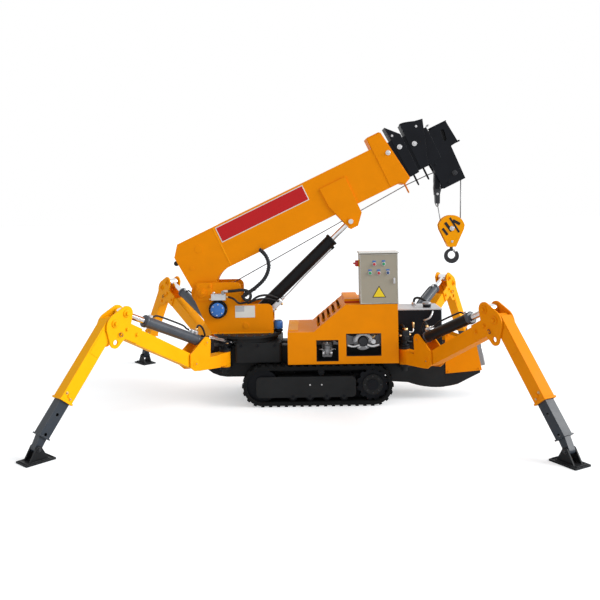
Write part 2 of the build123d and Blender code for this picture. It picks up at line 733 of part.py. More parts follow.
# Boom: root and first box, with the gussets that hold the lifting cylinder's eye
with BuildPart() as boom_base:
    with BuildSketch(boom_plane()):
        with BuildLine():
            Polyline((-80, 81), (-103, 429), (-21, BOOM_TOP), (BOOM_END, BOOM_TOP))
            Polyline((BOOM_END, BOOM_TOP), (BOOM_END + 50, BOOM_BOTTOM), (BOOM_START, BOOM_BOTTOM))
            ThreePointArc((BOOM_START, BOOM_BOTTOM), (200, 68), (110, -30))
            Line((110, -30), (-80, 81))
        make_face()
        Circle(LOBE_RADIUS)
        Polygon(
            (2093, BOOM_TOP - 10), (2093, 648), (2245, 641), (2311, 113), (2240, 80),
            (2190, BOOM_BOTTOM + 5), align=None,
        )
    extrude(amount=BOOM_WIDTH / 2, both=True)
    with BuildSketch(boom_plane()):
        with Locations((BOOM_START, BOOM_BOTTOM + BOOM_WALL)):
            Rectangle(
                BOOM_END, BOOM_TOP - BOOM_BOTTOM - 2 * BOOM_WALL, align=(Align.MIN, Align.MIN),
            )
    extrude(amount=BOOM_WIDTH / 2 - BOOM_WALL, both=True, mode=Mode.SUBTRACT)
    for side in (-1, 1):
        with BuildSketch(boom_plane(side * (BOOM_WIDTH + GUSSET) / 2)):
            Polygon(
                (1474, 210), (1468, 404), (1743, 404), (1737, 19), (1650, -80), (1569, -82),
                align=None,
            )
        extrude(amount=GUSSET / 2, both=True)
        with BuildSketch(boom_plane(side * (BOOM_WIDTH / 2 + GUSSET))):
            with Locations(LIFT_EYE):
                Circle(LIFT_PIN)
        extrude(amount=side * (BOOM_WIDTH / 2 + GUSSET - LIFT_EYE_WIDTH / 2 - 8))
    with BuildSketch(boom_plane()):
        Circle(PIVOT_PIN + RUNNING_GAP)
    extrude(amount=BOOM_WIDTH, both=True, mode=Mode.SUBTRACT)
boom_base.part.label = "boom_base"
export_step(boom_base.part, "parts/boom_base.step")

# Wear pads keep each section clear of the one around it
pad_height = SECTION_STEP - BOOM_WALL - RUNNING_GAP
# Inner boom sections: number, half width, rear end, front end, and the collar's outline
SECTIONS = (
    (2, 103, 560, 2415, ((2302, 664), (2415, 540), (2418, 125), (2328, 119))),
    (3, 85, 600, 2540, ((2454, 621), (2679, 580), (2538, 165), (2448, 148))),
)
for number, half_width, rear, front, collar in SECTIONS:
    low = BOOM_BOTTOM + (number - 1) * SECTION_STEP
    depth = BOOM_TOP + BOOM_BOTTOM - 2 * low
    with BuildPart() as section:
        with BuildSketch(boom_plane()):
            with Locations((rear, low)):
                Rectangle(front - rear, depth, align=(Align.MIN, Align.MIN))
        extrude(amount=half_width, both=True)
        with BuildSketch(boom_plane()):
            Polygon(*collar, align=None)
        extrude(amount=half_width + BOOM_WALL, both=True)
        with BuildSketch(boom_plane()):
            with Locations((rear - BOOM_WALL, low + BOOM_WALL)):
                Rectangle(front, depth - 2 * BOOM_WALL, align=(Align.MIN, Align.MIN))
        extrude(amount=half_width - BOOM_WALL, both=True, mode=Mode.SUBTRACT)
        with BuildSketch(boom_plane()):
            with Locations((rear, low - pad_height), (rear, low + depth)):
                Rectangle(WEAR_PAD, pad_height, align=(Align.MIN, Align.MIN))
        extrude(amount=half_width - 2 * BOOM_WALL, both=True)
    section.part.label = f"boom_section_{number}"
    export_step(section.part, f"parts/boom_section_{number}.step")

# Last section with the boom's head: two long plates for the sheave, and a short box above
head_low = BOOM_BOTTOM + 3 * SECTION_STEP
head_depth = BOOM_TOP + BOOM_BOTTOM - 2 * head_low
head_inner = HEAD_PLATES / 2 - HEAD_PLATE_THICKNESS
sheave_x, sheave_z = boom_point(HEAD_SHEAVE)
anchor_x, anchor_z = sheave_x + ANCHOR_OFFSET[0], sheave_z + ANCHOR_OFFSET[1]
with BuildPart() as head_section:
    with BuildSketch(boom_plane()):
        Polygon(
            (2553, 183), (2630, 400), (2727, 462), (2878, 462), (2899, 226), (2819, 216),
            (2806, -129), (2568, -131), (2565, 53), align=None,
        )
    extrude(amount=HEAD_PLATES / 2, both=True)
    with BuildSketch(boom_plane()):
        Polygon(
            (2500, -200), (2500, 450), (2727, 450), (2868, 450), (2884, 260), (2884, 200),
            (2860, -200), align=None,
        )
    extrude(amount=head_inner, both=True, mode=Mode.SUBTRACT)
    with BuildSketch(boom_plane()):
        with Locations((2800, 345)):
            SlotOverall(120, 36, rotation=80)
    extrude(amount=HEAD_PLATES, both=True, mode=Mode.SUBTRACT)
    with BuildSketch(boom_plane()):
        with Locations((640, head_low)):
            Rectangle(2040, head_depth, align=(Align.MIN, Align.MIN))
    extrude(amount=HEAD_PLATES / 2 + 3, both=True)
    with BuildSketch(boom_plane()):
        with Locations((630, head_low + BOOM_WALL)):
            Rectangle(2040, head_depth - 2 * BOOM_WALL, align=(Align.MIN, Align.MIN))
    extrude(amount=HEAD_PLATES / 2 + 3 - BOOM_WALL, both=True, mode=Mode.SUBTRACT)
    with BuildSketch(boom_plane()):
        with Locations((640, head_low - pad_height), (640, head_low + head_depth)):
            Rectangle(WEAR_PAD, pad_height, align=(Align.MIN, Align.MIN))
    extrude(amount=HEAD_PLATES / 2 - BOOM_WALL, both=True)
    with BuildSketch(boom_plane()):
        with Locations(HEAD_SHEAVE):
            Circle(HEAD_AXLE)
    extrude(amount=HEAD_PLATES / 2 + PIN_END, both=True)
    with BuildSketch(upright(anchor_x, 0, anchor_z)):
        Circle(ANCHOR_PIN)
    extrude(amount=HEAD_PLATES / 2, both=True)
head_section.part.label = "boom_section_4"
export_step(head_section.part, "parts/boom_section_4.step")

with BuildPart() as head_sheave:
    with BuildSketch(flat(sheave_x, 0, sheave_z)):
        Polygon(*sheave_outline(HEAD_SHEAVE_RADIUS, HEAD_AXLE), align=None)
    revolve(axis=Axis(flat(sheave_x, 0, sheave_z).origin, (0, 1, 0)))
head_sheave.part.label = "head_sheave"
export_step(head_sheave.part, "parts/head_sheave.step")

with BuildPart() as wedge_socket:
    with BuildSketch(upright(anchor_x, 0, anchor_z)):
        Circle(26)
        Polygon(
            (-26, 0), (26, 0), (32, -120), (26, -200), (22, -SOCKET_LENGTH),
            (-22, -SOCKET_LENGTH), (-26, -200), (-32, -120), align=None,
        )
        Circle(ANCHOR_PIN + RUNNING_GAP, mode=Mode.SUBTRACT)
    extrude(amount=SOCKET_WIDTH / 2, both=True)
wedge_socket.part.label = "wedge_socket"
export_step(wedge_socket.part, "parts/wedge_socket.step")

# Hook block: two cheeks on the sheave's axle, with the crosshead that holds the hook
block_x, block_z = sheave_x + BLOCK_OFFSET, sheave_z - BLOCK_DROP
with BuildPart() as hook_block:
    with BuildSketch(upright(block_x, 0, block_z)):
        with BuildLine():
            ThreePointArc((-BLOCK_HALF_WIDTH, 32), (0, 131), (BLOCK_HALF_WIDTH, 32))
            Polyline(
                (BLOCK_HALF_WIDTH, 32), (BLOCK_HALF_WIDTH - 7, -8), (38, BLOCK_BOTTOM),
                (-38, BLOCK_BOTTOM), (7 - BLOCK_HALF_WIDTH, -8), (-BLOCK_HALF_WIDTH, 32),
            )
        make_face()
    extrude(amount=BLOCK_THICKNESS / 2, both=True)
    with BuildSketch(upright(block_x, 0, block_z)):
        with Locations((0, BLOCK_BOTTOM + CROSSHEAD)):
            Rectangle(300, 400, align=(Align.CENTER, Align.MIN))
    extrude(amount=BLOCK_THICKNESS / 2 - BLOCK_PLATE, both=True, mode=Mode.SUBTRACT)
    with BuildSketch(upright(block_x, 0, block_z)):
        Circle(BLOCK_AXLE)
    extrude(amount=BLOCK_THICKNESS / 2 + PIN_END, both=True)
    with BuildSketch(flat(block_x, 0, block_z + BLOCK_BOTTOM)):
        Circle(SHANK_RADIUS + RUNNING_GAP)
    extrude(amount=CROSSHEAD, mode=Mode.SUBTRACT)
hook_block.part.label = "hook_block"
export_step(hook_block.part, "parts/hook_block.step")

with BuildPart() as block_sheave:
    with BuildSketch(flat(block_x, 0, block_z)):
        Polygon(*sheave_outline(BLOCK_SHEAVE_RADIUS, BLOCK_AXLE), align=None)
    revolve(axis=Axis(flat(block_x, 0, block_z).origin, (0, 1, 0)))
block_sheave.part.label = "block_sheave"
export_step(block_sheave.part, "parts/block_sheave.step")

# Hook, with a nut on its shank above the crosshead and a latch across its mouth
crosshead_top = block_z + BLOCK_BOTTOM + CROSSHEAD
hook_z = sheave_z - HOOK_DROP
with BuildPart() as hook:
    with BuildSketch(upright(block_x, 0, hook_z)):
        Circle(HOOK_RADIUS)
        with Locations((0, 10)):
            Circle(HOOK_BORE, mode=Mode.SUBTRACT)
        Polygon((0, 10), (22, 110), (95, 75), align=None, mode=Mode.SUBTRACT)
        Polygon((16, 40), (24, 44), (66, 22), (60, 14), align=None)
    extrude(amount=HOOK_THICKNESS / 2, both=True)
    with BuildSketch(flat(block_x, 0, hook_z + 50)):
        Circle(SHANK_RADIUS)
    extrude(amount=crosshead_top - hook_z - 50 + RUNNING_GAP + NUT_HEIGHT)
    with BuildSketch(flat(block_x, 0, crosshead_top + RUNNING_GAP)):
        RegularPolygon(26, 6)
    extrude(amount=NUT_HEIGHT)
hook.part.label = "hook"
export_step(hook.part, "parts/hook.step")

# Lifting cylinder from the turret to the boom
eye_x, eye_z = boom_point(LIFT_EYE)
lift_length = hypot(eye_x - LIFT_FOOT_X, eye_z - LIFT_FOOT_Z)
lift_rise = degrees(atan2(eye_z - LIFT_FOOT_Z, eye_x - LIFT_FOOT_X))
lift_plane = upright(LIFT_FOOT_X, 0, LIFT_FOOT_Z, rise=lift_rise)
with BuildPart() as lift_barrel:
    with BuildSketch(lift_plane):
        Polygon(
            *barrel_outline(LIFT_BARREL_LENGTH, LIFT_BARREL_RADIUS, LIFT_BORE_RADIUS,
                            LIFT_ROD_RADIUS), align=None,
        )
    revolve(axis=Axis(lift_plane.origin, lift_plane.x_dir))
    with BuildSketch(lift_plane):
        Circle(45)
        Rectangle(LIFT_BARREL_RADIUS + 5, 80, align=(Align.MIN, Align.CENTER))
        Circle(LIFT_PIN + RUNNING_GAP, mode=Mode.SUBTRACT)
    extrude(amount=45, both=True)
lift_barrel.part.label = "lift_barrel"
export_step(lift_barrel.part, "parts/lift_barrel.step")

with BuildPart() as lift_rod:
    with BuildSketch(lift_plane):
        Polygon(
            *rod_outline(LIFT_PISTON_PLACE, lift_length, LIFT_BORE_RADIUS, LIFT_ROD_RADIUS),
            align=None,
        )
    revolve(axis=Axis(lift_plane.origin, lift_plane.x_dir))
    with BuildSketch(lift_plane):
        with Locations((lift_length, 0)):
            Circle(LIFT_EYE_RADIUS)
    extrude(amount=LIFT_EYE_WIDTH / 2, both=True)
    with BuildSketch(lift_plane):
        with Locations((lift_length, 0)):
            Circle(LIFT_PIN + RUNNING_GAP)
    extrude(amount=LIFT_EYE_WIDTH, both=True, mode=Mode.SUBTRACT)
lift_rod.part.label = "lift_rod"
export_step(lift_rod.part, "parts/lift_rod.step")

# Outriggers: bracket on its post, arm with the knee's head, jack, leg, inner leg and foot
for leg in OUTRIGGERS:
    name, fall = leg[0], leg[5]
    plane = leg_plane(leg)
    with BuildPart() as bracket:
        with BuildSketch(plane):
            with Locations(CYLINDER_PIN):
                Circle(LOBE_SIZE)
            with Locations((BRACKET_INNER, BAR_TOP)):
                Rectangle(BRACKET_OUTER - BRACKET_INNER, 60, align=(Align.MIN, Align.MIN))
            make_hull()
            Polygon(
                (BRACKET_REAR, BAR_BOTTOM), (BRACKET_REAR, BAR_TOP), (BRACKET_OUTER, BAR_TOP),
                (BRACKET_OUTER, 450), (440, 410), (380, 402), align=None,
            )
        extrude(amount=BRACKET_WIDTH / 2, both=True)
        with BuildSketch(plane):
            with Locations((WEB_END, 300)):
                Rectangle(300, 500, align=(Align.MIN, Align.MIN))
            with Locations((BRACKET_REAR - 50, BAR_TOP)):
                Rectangle(500, 300, align=(Align.MIN, Align.MIN))
        extrude(amount=BRACKET_WIDTH / 2 - BRACKET_PLATE, both=True, mode=Mode.SUBTRACT)
        with BuildSketch(plane):
            with Locations((0, BAR_BOTTOM)):
                Rectangle(BRACKET_REAR + 10, BAR_TOP - BAR_BOTTOM, align=(Align.MIN, Align.MIN))
        extrude(amount=BAR_WIDTH / 2, both=True)
        with BuildSketch(flat(leg[1] * POST_X, leg[2] * POST_Y, HUB_BOTTOM)):
            Circle(HUB_RADIUS)
        extrude(amount=HUB_TOP - HUB_BOTTOM)
        with BuildSketch(flat(leg[1] * POST_X, leg[2] * POST_Y, HUB_BOTTOM)):
            Circle(POST_RADIUS + RUNNING_GAP)
        extrude(amount=HUB_TOP - HUB_BOTTOM, mode=Mode.SUBTRACT)
        with BuildSketch(plane):
            with Locations(ARM_PIN, CYLINDER_PIN):
                Circle(PIN_RADIUS)
        extrude(amount=BRACKET_WIDTH / 2 + PIN_END, both=True)
    bracket.part.label = f"bracket_{name}"
    export_step(bracket.part, f"parts/bracket_{name}.step")

    arm_plane = leg_plane(leg, ARM_PIN, leg[4])
    head_width = ARM_WIDTH + 2 * HEAD_PLATE
    with BuildPart() as arm:
        with BuildSketch(arm_plane):
            for point, radius in zip((ROD_PIN, FREE_HOLE, HEAD_BACK), HEAD_SIZES):
                with Locations(point):
                    Circle(radius)
            make_hull()
            Polygon((HEAD_REAR, 84), (HEAD_REAR, -46), (860, -50), (860, 84), align=None)
            with Locations(FREE_HOLE):
                Circle(FREE_HOLE_RADIUS, mode=Mode.SUBTRACT)
        extrude(amount=head_width / 2, both=True)
        with BuildSketch(arm_plane):
            with Locations(HEAD_BACK):
                Rectangle(600, 600)
        extrude(amount=ARM_WIDTH / 2, both=True, mode=Mode.SUBTRACT)
        with BuildSketch(arm_plane):
            Circle(ARM_KNUCKLE)
            Polygon((0, -50), (815, -52), (675, 74), (50, 64), (0, 50), align=None)
        extrude(amount=ARM_WIDTH / 2, both=True)
        with BuildSketch(arm_plane):
            Polygon((80, -42), (830, -44), (706, 66), (80, 56), align=None)
        extrude(amount=ARM_WIDTH / 2 - ARM_WALL, both=True, mode=Mode.SUBTRACT)
        with BuildSketch(arm_plane):
            Circle(PIN_RADIUS + RUNNING_GAP)
        extrude(amount=ARM_WIDTH, both=True, mode=Mode.SUBTRACT)
        with BuildSketch(arm_plane):
            with Locations(KNEE):
                Circle(PIN_RADIUS)
        extrude(amount=head_width / 2 + PIN_END, both=True)
        stub = head_width / 2 + PIN_END - JACK_EYE_WIDTH / 2 - 3
        for side in (-1, 1):
            with BuildSketch(arm_plane.offset(side * (head_width / 2 + PIN_END - stub / 2))):
                with Locations(ROD_PIN):
                    Circle(PIN_RADIUS)
            extrude(amount=stub / 2, both=True)
    arm.part.label = f"arm_{name}"
    export_step(arm.part, f"parts/arm_{name}.step")

    rod_reach, rod_height = arm_point(leg, ROD_PIN)
    jack_length = hypot(rod_reach - CYLINDER_PIN[0], rod_height - CYLINDER_PIN[1])
    jack_rise = degrees(atan2(rod_height - CYLINDER_PIN[1], rod_reach - CYLINDER_PIN[0]))
    jack_plane = leg_plane(leg, CYLINDER_PIN, jack_rise)
    with BuildPart() as jack_barrel:
        with BuildSketch(jack_plane):
            Polygon(*barrel_outline(JACK_BARREL, JACK_RADIUS, JACK_BORE, JACK_ROD), align=None)
        revolve(axis=Axis(jack_plane.origin, jack_plane.x_dir))
        with BuildSketch(jack_plane):
            Circle(JACK_EYE_RADIUS)
            Rectangle(JACK_RADIUS + 5, 70, align=(Align.MIN, Align.CENTER))
            Circle(PIN_RADIUS + RUNNING_GAP, mode=Mode.SUBTRACT)
        extrude(amount=JACK_EYE_WIDTH / 2, both=True)
    jack_barrel.part.label = f"jack_barrel_{name}"
    export_step(jack_barrel.part, f"parts/jack_barrel_{name}.step")

    with BuildPart() as jack_rod:
        with BuildSketch(jack_plane):
            Polygon(
                *rod_outline(JACK_PISTON_PLACE, jack_length, JACK_BORE, JACK_ROD), align=None,
            )
        revolve(axis=Axis(jack_plane.origin, jack_plane.x_dir))
        with BuildSketch(jack_plane):
            with Locations((jack_length, 0)):
                Circle(JACK_EYE_RADIUS)
        extrude(amount=JACK_EYE_WIDTH / 2, both=True)
        with BuildSketch(jack_plane):
            with Locations((jack_length, 0)):
                Circle(PIN_RADIUS + RUNNING_GAP)
        extrude(amount=JACK_EYE_WIDTH, both=True, mode=Mode.SUBTRACT)
    jack_rod.part.label = f"jack_rod_{name}"
    export_step(jack_rod.part, f"parts/jack_rod_{name}.step")

    knee_plane = leg_plane(leg, arm_point(leg, KNEE), -fall)
    with BuildPart() as outer_leg:
        with BuildSketch(knee_plane):
            Circle(LEG_HEAD_RADIUS)
            with Locations((0, LEG_OFFSET)):
                Rectangle(LEG_LENGTH, LEG_DEPTH, align=(Align.MIN, Align.CENTER))
            Circle(PIN_RADIUS + RUNNING_GAP, mode=Mode.SUBTRACT)
        extrude(amount=LEG_WIDTH / 2, both=True)
        with BuildSketch(end_on(knee_plane, LEG_LENGTH - LEG_COLLAR)):
            with Locations((0, LEG_OFFSET)):
                Rectangle(LEG_WIDTH + 2 * COLLAR_RIM, LEG_DEPTH + 2 * COLLAR_RIM)
        extrude(amount=LEG_COLLAR)
        with BuildSketch(end_on(knee_plane, LEG_HEAD_LENGTH)):
            with Locations((0, LEG_OFFSET)):
                Rectangle(LEG_WIDTH - 2 * LEG_WALL, LEG_DEPTH - 2 * LEG_WALL)
        extrude(amount=LEG_LENGTH - LEG_COLLAR - LEG_HEAD_LENGTH, mode=Mode.SUBTRACT)
        with BuildSketch(end_on(knee_plane, LEG_HEAD_LENGTH)):
            with Locations((0, LEG_OFFSET)):
                Rectangle(INNER_WIDTH + 2 * RUNNING_GAP, INNER_DEPTH + 2 * RUNNING_GAP)
        extrude(amount=LEG_LENGTH, mode=Mode.SUBTRACT)
    outer_leg.part.label = f"leg_{name}"
    export_step(outer_leg.part, f"parts/leg_{name}.step")

    length = leg_length(leg)
    with BuildPart() as inner_leg:
        with BuildSketch(end_on(knee_plane, length - ANKLE - INNER_LENGTH)):
            with Locations((0, LEG_OFFSET)):
                Rectangle(INNER_WIDTH, INNER_DEPTH)
                Rectangle(
                    INNER_WIDTH - 2 * INNER_WALL, INNER_DEPTH - 2 * INNER_WALL, mode=Mode.SUBTRACT,
                )
        extrude(amount=INNER_LENGTH)
        with BuildSketch(end_on(knee_plane, length - ANKLE)):
            with Locations((0, LEG_OFFSET)):
                Rectangle(INNER_WIDTH + 16, INNER_DEPTH + 16)
        extrude(amount=ANKLE_PLATE)
        with BuildSketch(knee_plane):
            with Locations((length, 0)):
                Circle(2 * FOOT_PIN)
            with Locations((length - ANKLE + 1, LEG_OFFSET)):
                Rectangle(4, 70)
            make_hull()
            with Locations((length, 0)):
                Circle(FOOT_PIN + RUNNING_GAP, mode=Mode.SUBTRACT)
        extrude(amount=FOOT_LUG / 2, both=True)
        with BuildSketch(knee_plane):
            for index in range(HOLE_COUNT):
                with Locations((length - ANKLE - 15 - index * HOLE_PITCH, LEG_OFFSET)):
                    Circle(HOLE_RADIUS)
        extrude(amount=INNER_WIDTH, both=True, mode=Mode.SUBTRACT)
    inner_leg.part.label = f"inner_leg_{name}"
    export_step(inner_leg.part, f"parts/inner_leg_{name}.step")

    foot_reach = arm_point(leg, KNEE)[0] + length * cos(radians(fall))
    foot_plane = leg_plane(leg, (foot_reach, 0))
    with BuildPart() as foot:
        with BuildSketch(foot_plane):
            Rectangle(FOOT_LENGTH, FOOT_PLATE, align=(Align.CENTER, Align.MIN))
        extrude(amount=FOOT_WIDTH / 2, both=True)
        for side in (-1, 1):
            cheek_plane = foot_plane.offset(side * (FOOT_LUG / 2 + 5 + FOOT_CHEEK / 2))
            with BuildSketch(cheek_plane):
                with Locations((0, FOOT_PIN_HEIGHT)):
                    Circle(2 * FOOT_PIN - 2)
                with Locations((0, FOOT_PLATE)):
                    Rectangle(150, 2)
                make_hull()
            extrude(amount=FOOT_CHEEK / 2, both=True)
        with BuildSketch(foot_plane):
            with Locations((0, FOOT_PIN_HEIGHT)):
                Circle(FOOT_PIN)
        extrude(amount=FOOT_LUG / 2 + 5 + FOOT_CHEEK + PIN_END, both=True)
    foot.part.label = f"foot_{name}"
    export_step(foot.part, f"parts/foot_{name}.step")
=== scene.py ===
from collections import namedtuple
from math import atan2, cos, hypot, pi, radians, sin

import bmesh
import bpy
from mathutils import Matrix, Vector


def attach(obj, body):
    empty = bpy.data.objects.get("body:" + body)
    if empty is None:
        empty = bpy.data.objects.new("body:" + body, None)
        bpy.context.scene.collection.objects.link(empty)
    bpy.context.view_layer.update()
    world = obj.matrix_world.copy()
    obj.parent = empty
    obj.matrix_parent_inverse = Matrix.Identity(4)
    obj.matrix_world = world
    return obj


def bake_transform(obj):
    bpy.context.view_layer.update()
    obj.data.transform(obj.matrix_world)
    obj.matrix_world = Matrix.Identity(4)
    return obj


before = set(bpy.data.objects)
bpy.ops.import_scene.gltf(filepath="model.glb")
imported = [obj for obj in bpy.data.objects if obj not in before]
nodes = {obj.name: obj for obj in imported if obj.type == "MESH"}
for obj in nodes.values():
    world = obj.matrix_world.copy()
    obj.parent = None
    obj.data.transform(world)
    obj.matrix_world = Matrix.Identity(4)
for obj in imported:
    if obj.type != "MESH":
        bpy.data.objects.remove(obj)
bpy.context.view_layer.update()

# Places are given as in the part's source: millimetres from the middle of the machine, and
# for the boom and the outriggers in their own frames.
STAND_X = -97.30046
STAND_Y = -97.80714
PIVOT = (-1078, 1055)
LUFF = 25.2
POST = (853.5, 280)
ARM_PIN = (428, 475)
CYLINDER_PIN = (297, 648)
KNEE = (963, 30)
ROD_PIN = (896, 144)
FOOT_PIN_HEIGHT = 95
POST_TOP = 536
HEAD_SHEAVE = (2734, -36)
LIFT_EYE = (1602, -13)
LIFT_PIN = (-658, 733)
SLEW_CENTRE_X = -655
SLEW_MOTOR = (-350, -60)
WINCH_MOTOR = (-926, 897)
DRUM = (-840, 1000)
SPROCKET = (544, 192)
ENGINE_HUB = (464, 590)
PUMP_X = 122

# Outer faces, counted from the middle of the machine, and for the boom and outriggers from theirs
BOOM_FACE = 125
TURRET_FACE = 165
CHEEK_FACE = 175
DOOR_FACE = 380
WINDOW_FACE = 377
TRACK_FACE = 385
CORE_FACE = 190
TAIL_FACE = 188
BLOCK_FACE = 46
ARM_FACE = 72
LEG_FACE = 53

# Outriggers: name, side along X, side across Y, swing, rise of the arm, fall of the leg
Outrigger = namedtuple("Outrigger", "name along across swing rise fall")
OUTRIGGERS = (
    Outrigger("rear_right", -1, -1, 49.2, 27.6, 52.1),
    Outrigger("front_right", 1, -1, 60.5, 27.7, 52.9),
    Outrigger("rear_left", -1, 1, 48.1, 29.3, 57.8),
    Outrigger("front_left", 1, 1, 54.0, 28.6, 57.3),
)


def at(x, y, z):
    """Place in the scene, in metres, of a place on the machine."""
    return Vector(((x - STAND_X) / 1000, (y - STAND_Y) / 1000, z / 1000))


def turned(point, angle):
    """Turn a point about zero."""
    turn = radians(angle)
    return (
        point[0] * cos(turn) - point[1] * sin(turn), point[0] * sin(turn) + point[1] * cos(turn),
    )


def rectangle(low_x, low_z, high_x, high_z):
    """Corners of an upright rectangle."""
    return (low_x, low_z), (high_x, low_z), (high_x, high_z), (low_x, high_z)


def circle(centre, radius, count, start=0.0):
    """Places spaced evenly on a circle."""
    turns = [start + 2 * pi * index / count for index in range(count)]
    return [(centre[0] + radius * cos(turn), centre[1] + radius * sin(turn)) for turn in turns]


def axes(origin, heading=0, rise=0):
    """Frame with x along a heading that rises by an angle, y to its left and z square to both."""
    ahead = Vector((cos(radians(heading)), sin(radians(heading)), 0))
    up = Vector((0, 0, 1))
    x = ahead * cos(radians(rise)) + up * sin(radians(rise))
    z = up * cos(radians(rise)) - ahead * sin(radians(rise))
    y = z.cross(x)
    turn = Matrix((x, y, z)).transposed().to_4x4()
    return Matrix.Translation(origin) @ turn


MACHINE = axes(at(0, 0, 0))
BOOM = axes(at(PIVOT[0], 0, PIVOT[1]), 0, LUFF)


def boom_place(along, up, y=0):
    """Place on the machine of a place on the boom."""
    x, z = turned((along, up), LUFF)
    return PIVOT[0] + x, y, PIVOT[1] + z


def leg_axes(leg, point=(0, 0), rise=0):
    """Frame of an outrigger at a reach and height from its post."""
    turn = leg.across * leg.swing
    heading = turn if leg.along > 0 else 180 - turn
    x = leg.along * POST[0] + point[0] * cos(radians(heading))
    y = leg.across * POST[1] + point[0] * sin(radians(heading))
    return axes(at(x, y, point[1]), heading, rise)


def arm_point(leg, point):
    """Reach and height of a place on an outrigger's arm."""
    reach, height = turned(point, leg.rise)
    return ARM_PIN[0] + reach, ARM_PIN[1] + height


# Materials


def new_material(name):
    material = bpy.data.materials.new(name)
    material.use_nodes = True
    tree = material.node_tree
    return material, tree, tree.nodes["Principled BSDF"]


def node(tree, kind, **values):
    made = tree.nodes.new(kind)
    for key, value in values.items():
        setattr(made, key, value)
    return made


def noise(tree, scale, detail, roughness):
    place = node(tree, "ShaderNodeTexCoord")
    made = node(tree, "ShaderNodeTexNoise")
    made.inputs["Scale"].default_value = scale
    made.inputs["Detail"].default_value = detail
    made.inputs["Roughness"].default_value = roughness
    tree.links.new(place.outputs["Object"], made.inputs["Vector"])
    return made


def ramp(tree, source, stops):
    made = node(tree, "ShaderNodeValToRGB")
    made.color_ramp.elements[0].position = stops[0][0]
    made.color_ramp.elements[0].color = (*stops[0][1], 1)
    made.color_ramp.elements[1].position = stops[-1][0]
    made.color_ramp.elements[1].color = (*stops[-1][1], 1)
    for position, colour in stops[1:-1]:
        made.color_ramp.elements.new(position).color = (*colour, 1)
    tree.links.new(source, made.inputs["Fac"])
    return made


def shade(colour, factor):
    return tuple(min(1, c * factor) for c in colour)


def mix(tree, factor, first, second):
    made = node(tree, "ShaderNodeMix", data_type="RGBA")
    tree.links.new(factor, made.inputs["Factor"])
    tree.links.new(first, made.inputs["A"])
    tree.links.new(second, made.inputs["B"])
    return made.outputs["Result"]


def surface(name, colour, roughness, metallic=0.0, spread=0.08, grain=220, bump=0.04, edge=0.003,
            wear=None, coat=0.0, spots=0.0, shine=0.3):
    """Painted, cast, forged or moulded surface: cloudy colour, fine grain and rounded edges."""
    material, tree, shader = new_material(name)
    link = tree.links.new
    clouds = noise(tree, 5, 5, 0.6)
    tones = ramp(
        tree, clouds.outputs["Fac"],
        [(0.3, shade(colour, 1 - spread)), (0.5, colour), (0.7, shade(colour, 1 + spread))],
    )
    result = tones.outputs["Color"]
    fine = noise(tree, grain, 3, 0.6)
    round_edge = node(tree, "ShaderNodeBevel", samples=4)
    round_edge.inputs["Radius"].default_value = edge
    if wear:
        flat = node(tree, "ShaderNodeNewGeometry")
        dot = node(tree, "ShaderNodeVectorMath", operation="DOT_PRODUCT")
        link(round_edge.outputs["Normal"], dot.inputs[0])
        link(flat.outputs["Normal"], dot.inputs[1])
        patchy = noise(tree, 35, 4, 0.7)
        curve = node(tree, "ShaderNodeMath", operation="SUBTRACT")
        curve.inputs[0].default_value = 1.0
        link(dot.outputs["Value"], curve.inputs[1])
        both = node(tree, "ShaderNodeMath", operation="MULTIPLY")
        link(curve.outputs[0], both.inputs[0])
        link(patchy.outputs["Fac"], both.inputs[1])
        edge_mask = ramp(tree, both.outputs[0], [(0.02, (0, 0, 0)), (0.12, (1, 1, 1))])
        worn = node(tree, "ShaderNodeRGB")
        worn.outputs[0].default_value = (*wear, 1)
        result = mix(tree, edge_mask.outputs["Color"], result, worn.outputs[0])
    if spots:
        specks = noise(tree, 60, 6, 0.8)
        mask = ramp(tree, specks.outputs["Fac"], [(0.62, (0, 0, 0)), (0.7, (spots, spots, spots))])
        dark = node(tree, "ShaderNodeRGB")
        dark.outputs[0].default_value = (*shade(colour, 0.35), 1)
        result = mix(tree, mask.outputs["Color"], result, dark.outputs[0])
    link(result, shader.inputs["Base Color"])
    gloss = ramp(
        tree, clouds.outputs["Fac"],
        [(0.35, (roughness * 0.85,) * 3), (0.65, (min(1, roughness * 1.2),) * 3)],
    )
    link(gloss.outputs["Color"], shader.inputs["Roughness"])
    shader.inputs["Metallic"].default_value = metallic
    shader.inputs["Coat Weight"].default_value = coat
    shader.inputs["Specular IOR Level"].default_value = shine
    height = node(tree, "ShaderNodeBump")
    height.inputs["Strength"].default_value = bump
    height.inputs["Distance"].default_value = 0.002
    link(fine.outputs["Fac"], height.inputs["Height"])
    link(round_edge.outputs["Normal"], height.inputs["Normal"])
    link(height.outputs["Normal"], shader.inputs["Normal"])
    return material


def banded(name, colour, second, scale, direction, roughness, metallic):
    """Surface with fine bands, for a wound rope, a braided hose or a cooler's fins."""
    material, tree, shader = new_material(name)
    link = tree.links.new
    place = node(tree, "ShaderNodeTexCoord")
    bands = node(tree, "ShaderNodeTexWave", bands_direction=direction)
    bands.inputs["Scale"].default_value = scale
    bands.inputs["Distortion"].default_value = 0.6
    bands.inputs["Detail"].default_value = 1.0
    link(place.outputs["Object"], bands.inputs["Vector"])
    tones = ramp(tree, bands.outputs["Fac"], [(0.25, second), (0.75, colour)])
    link(tones.outputs["Color"], shader.inputs["Base Color"])
    shader.inputs["Roughness"].default_value = roughness
    shader.inputs["Metallic"].default_value = metallic
    height = node(tree, "ShaderNodeBump")
    height.inputs["Strength"].default_value = 0.4
    height.inputs["Distance"].default_value = 0.002
    link(bands.outputs["Fac"], height.inputs["Height"])
    link(height.outputs["Normal"], shader.inputs["Normal"])
    return material


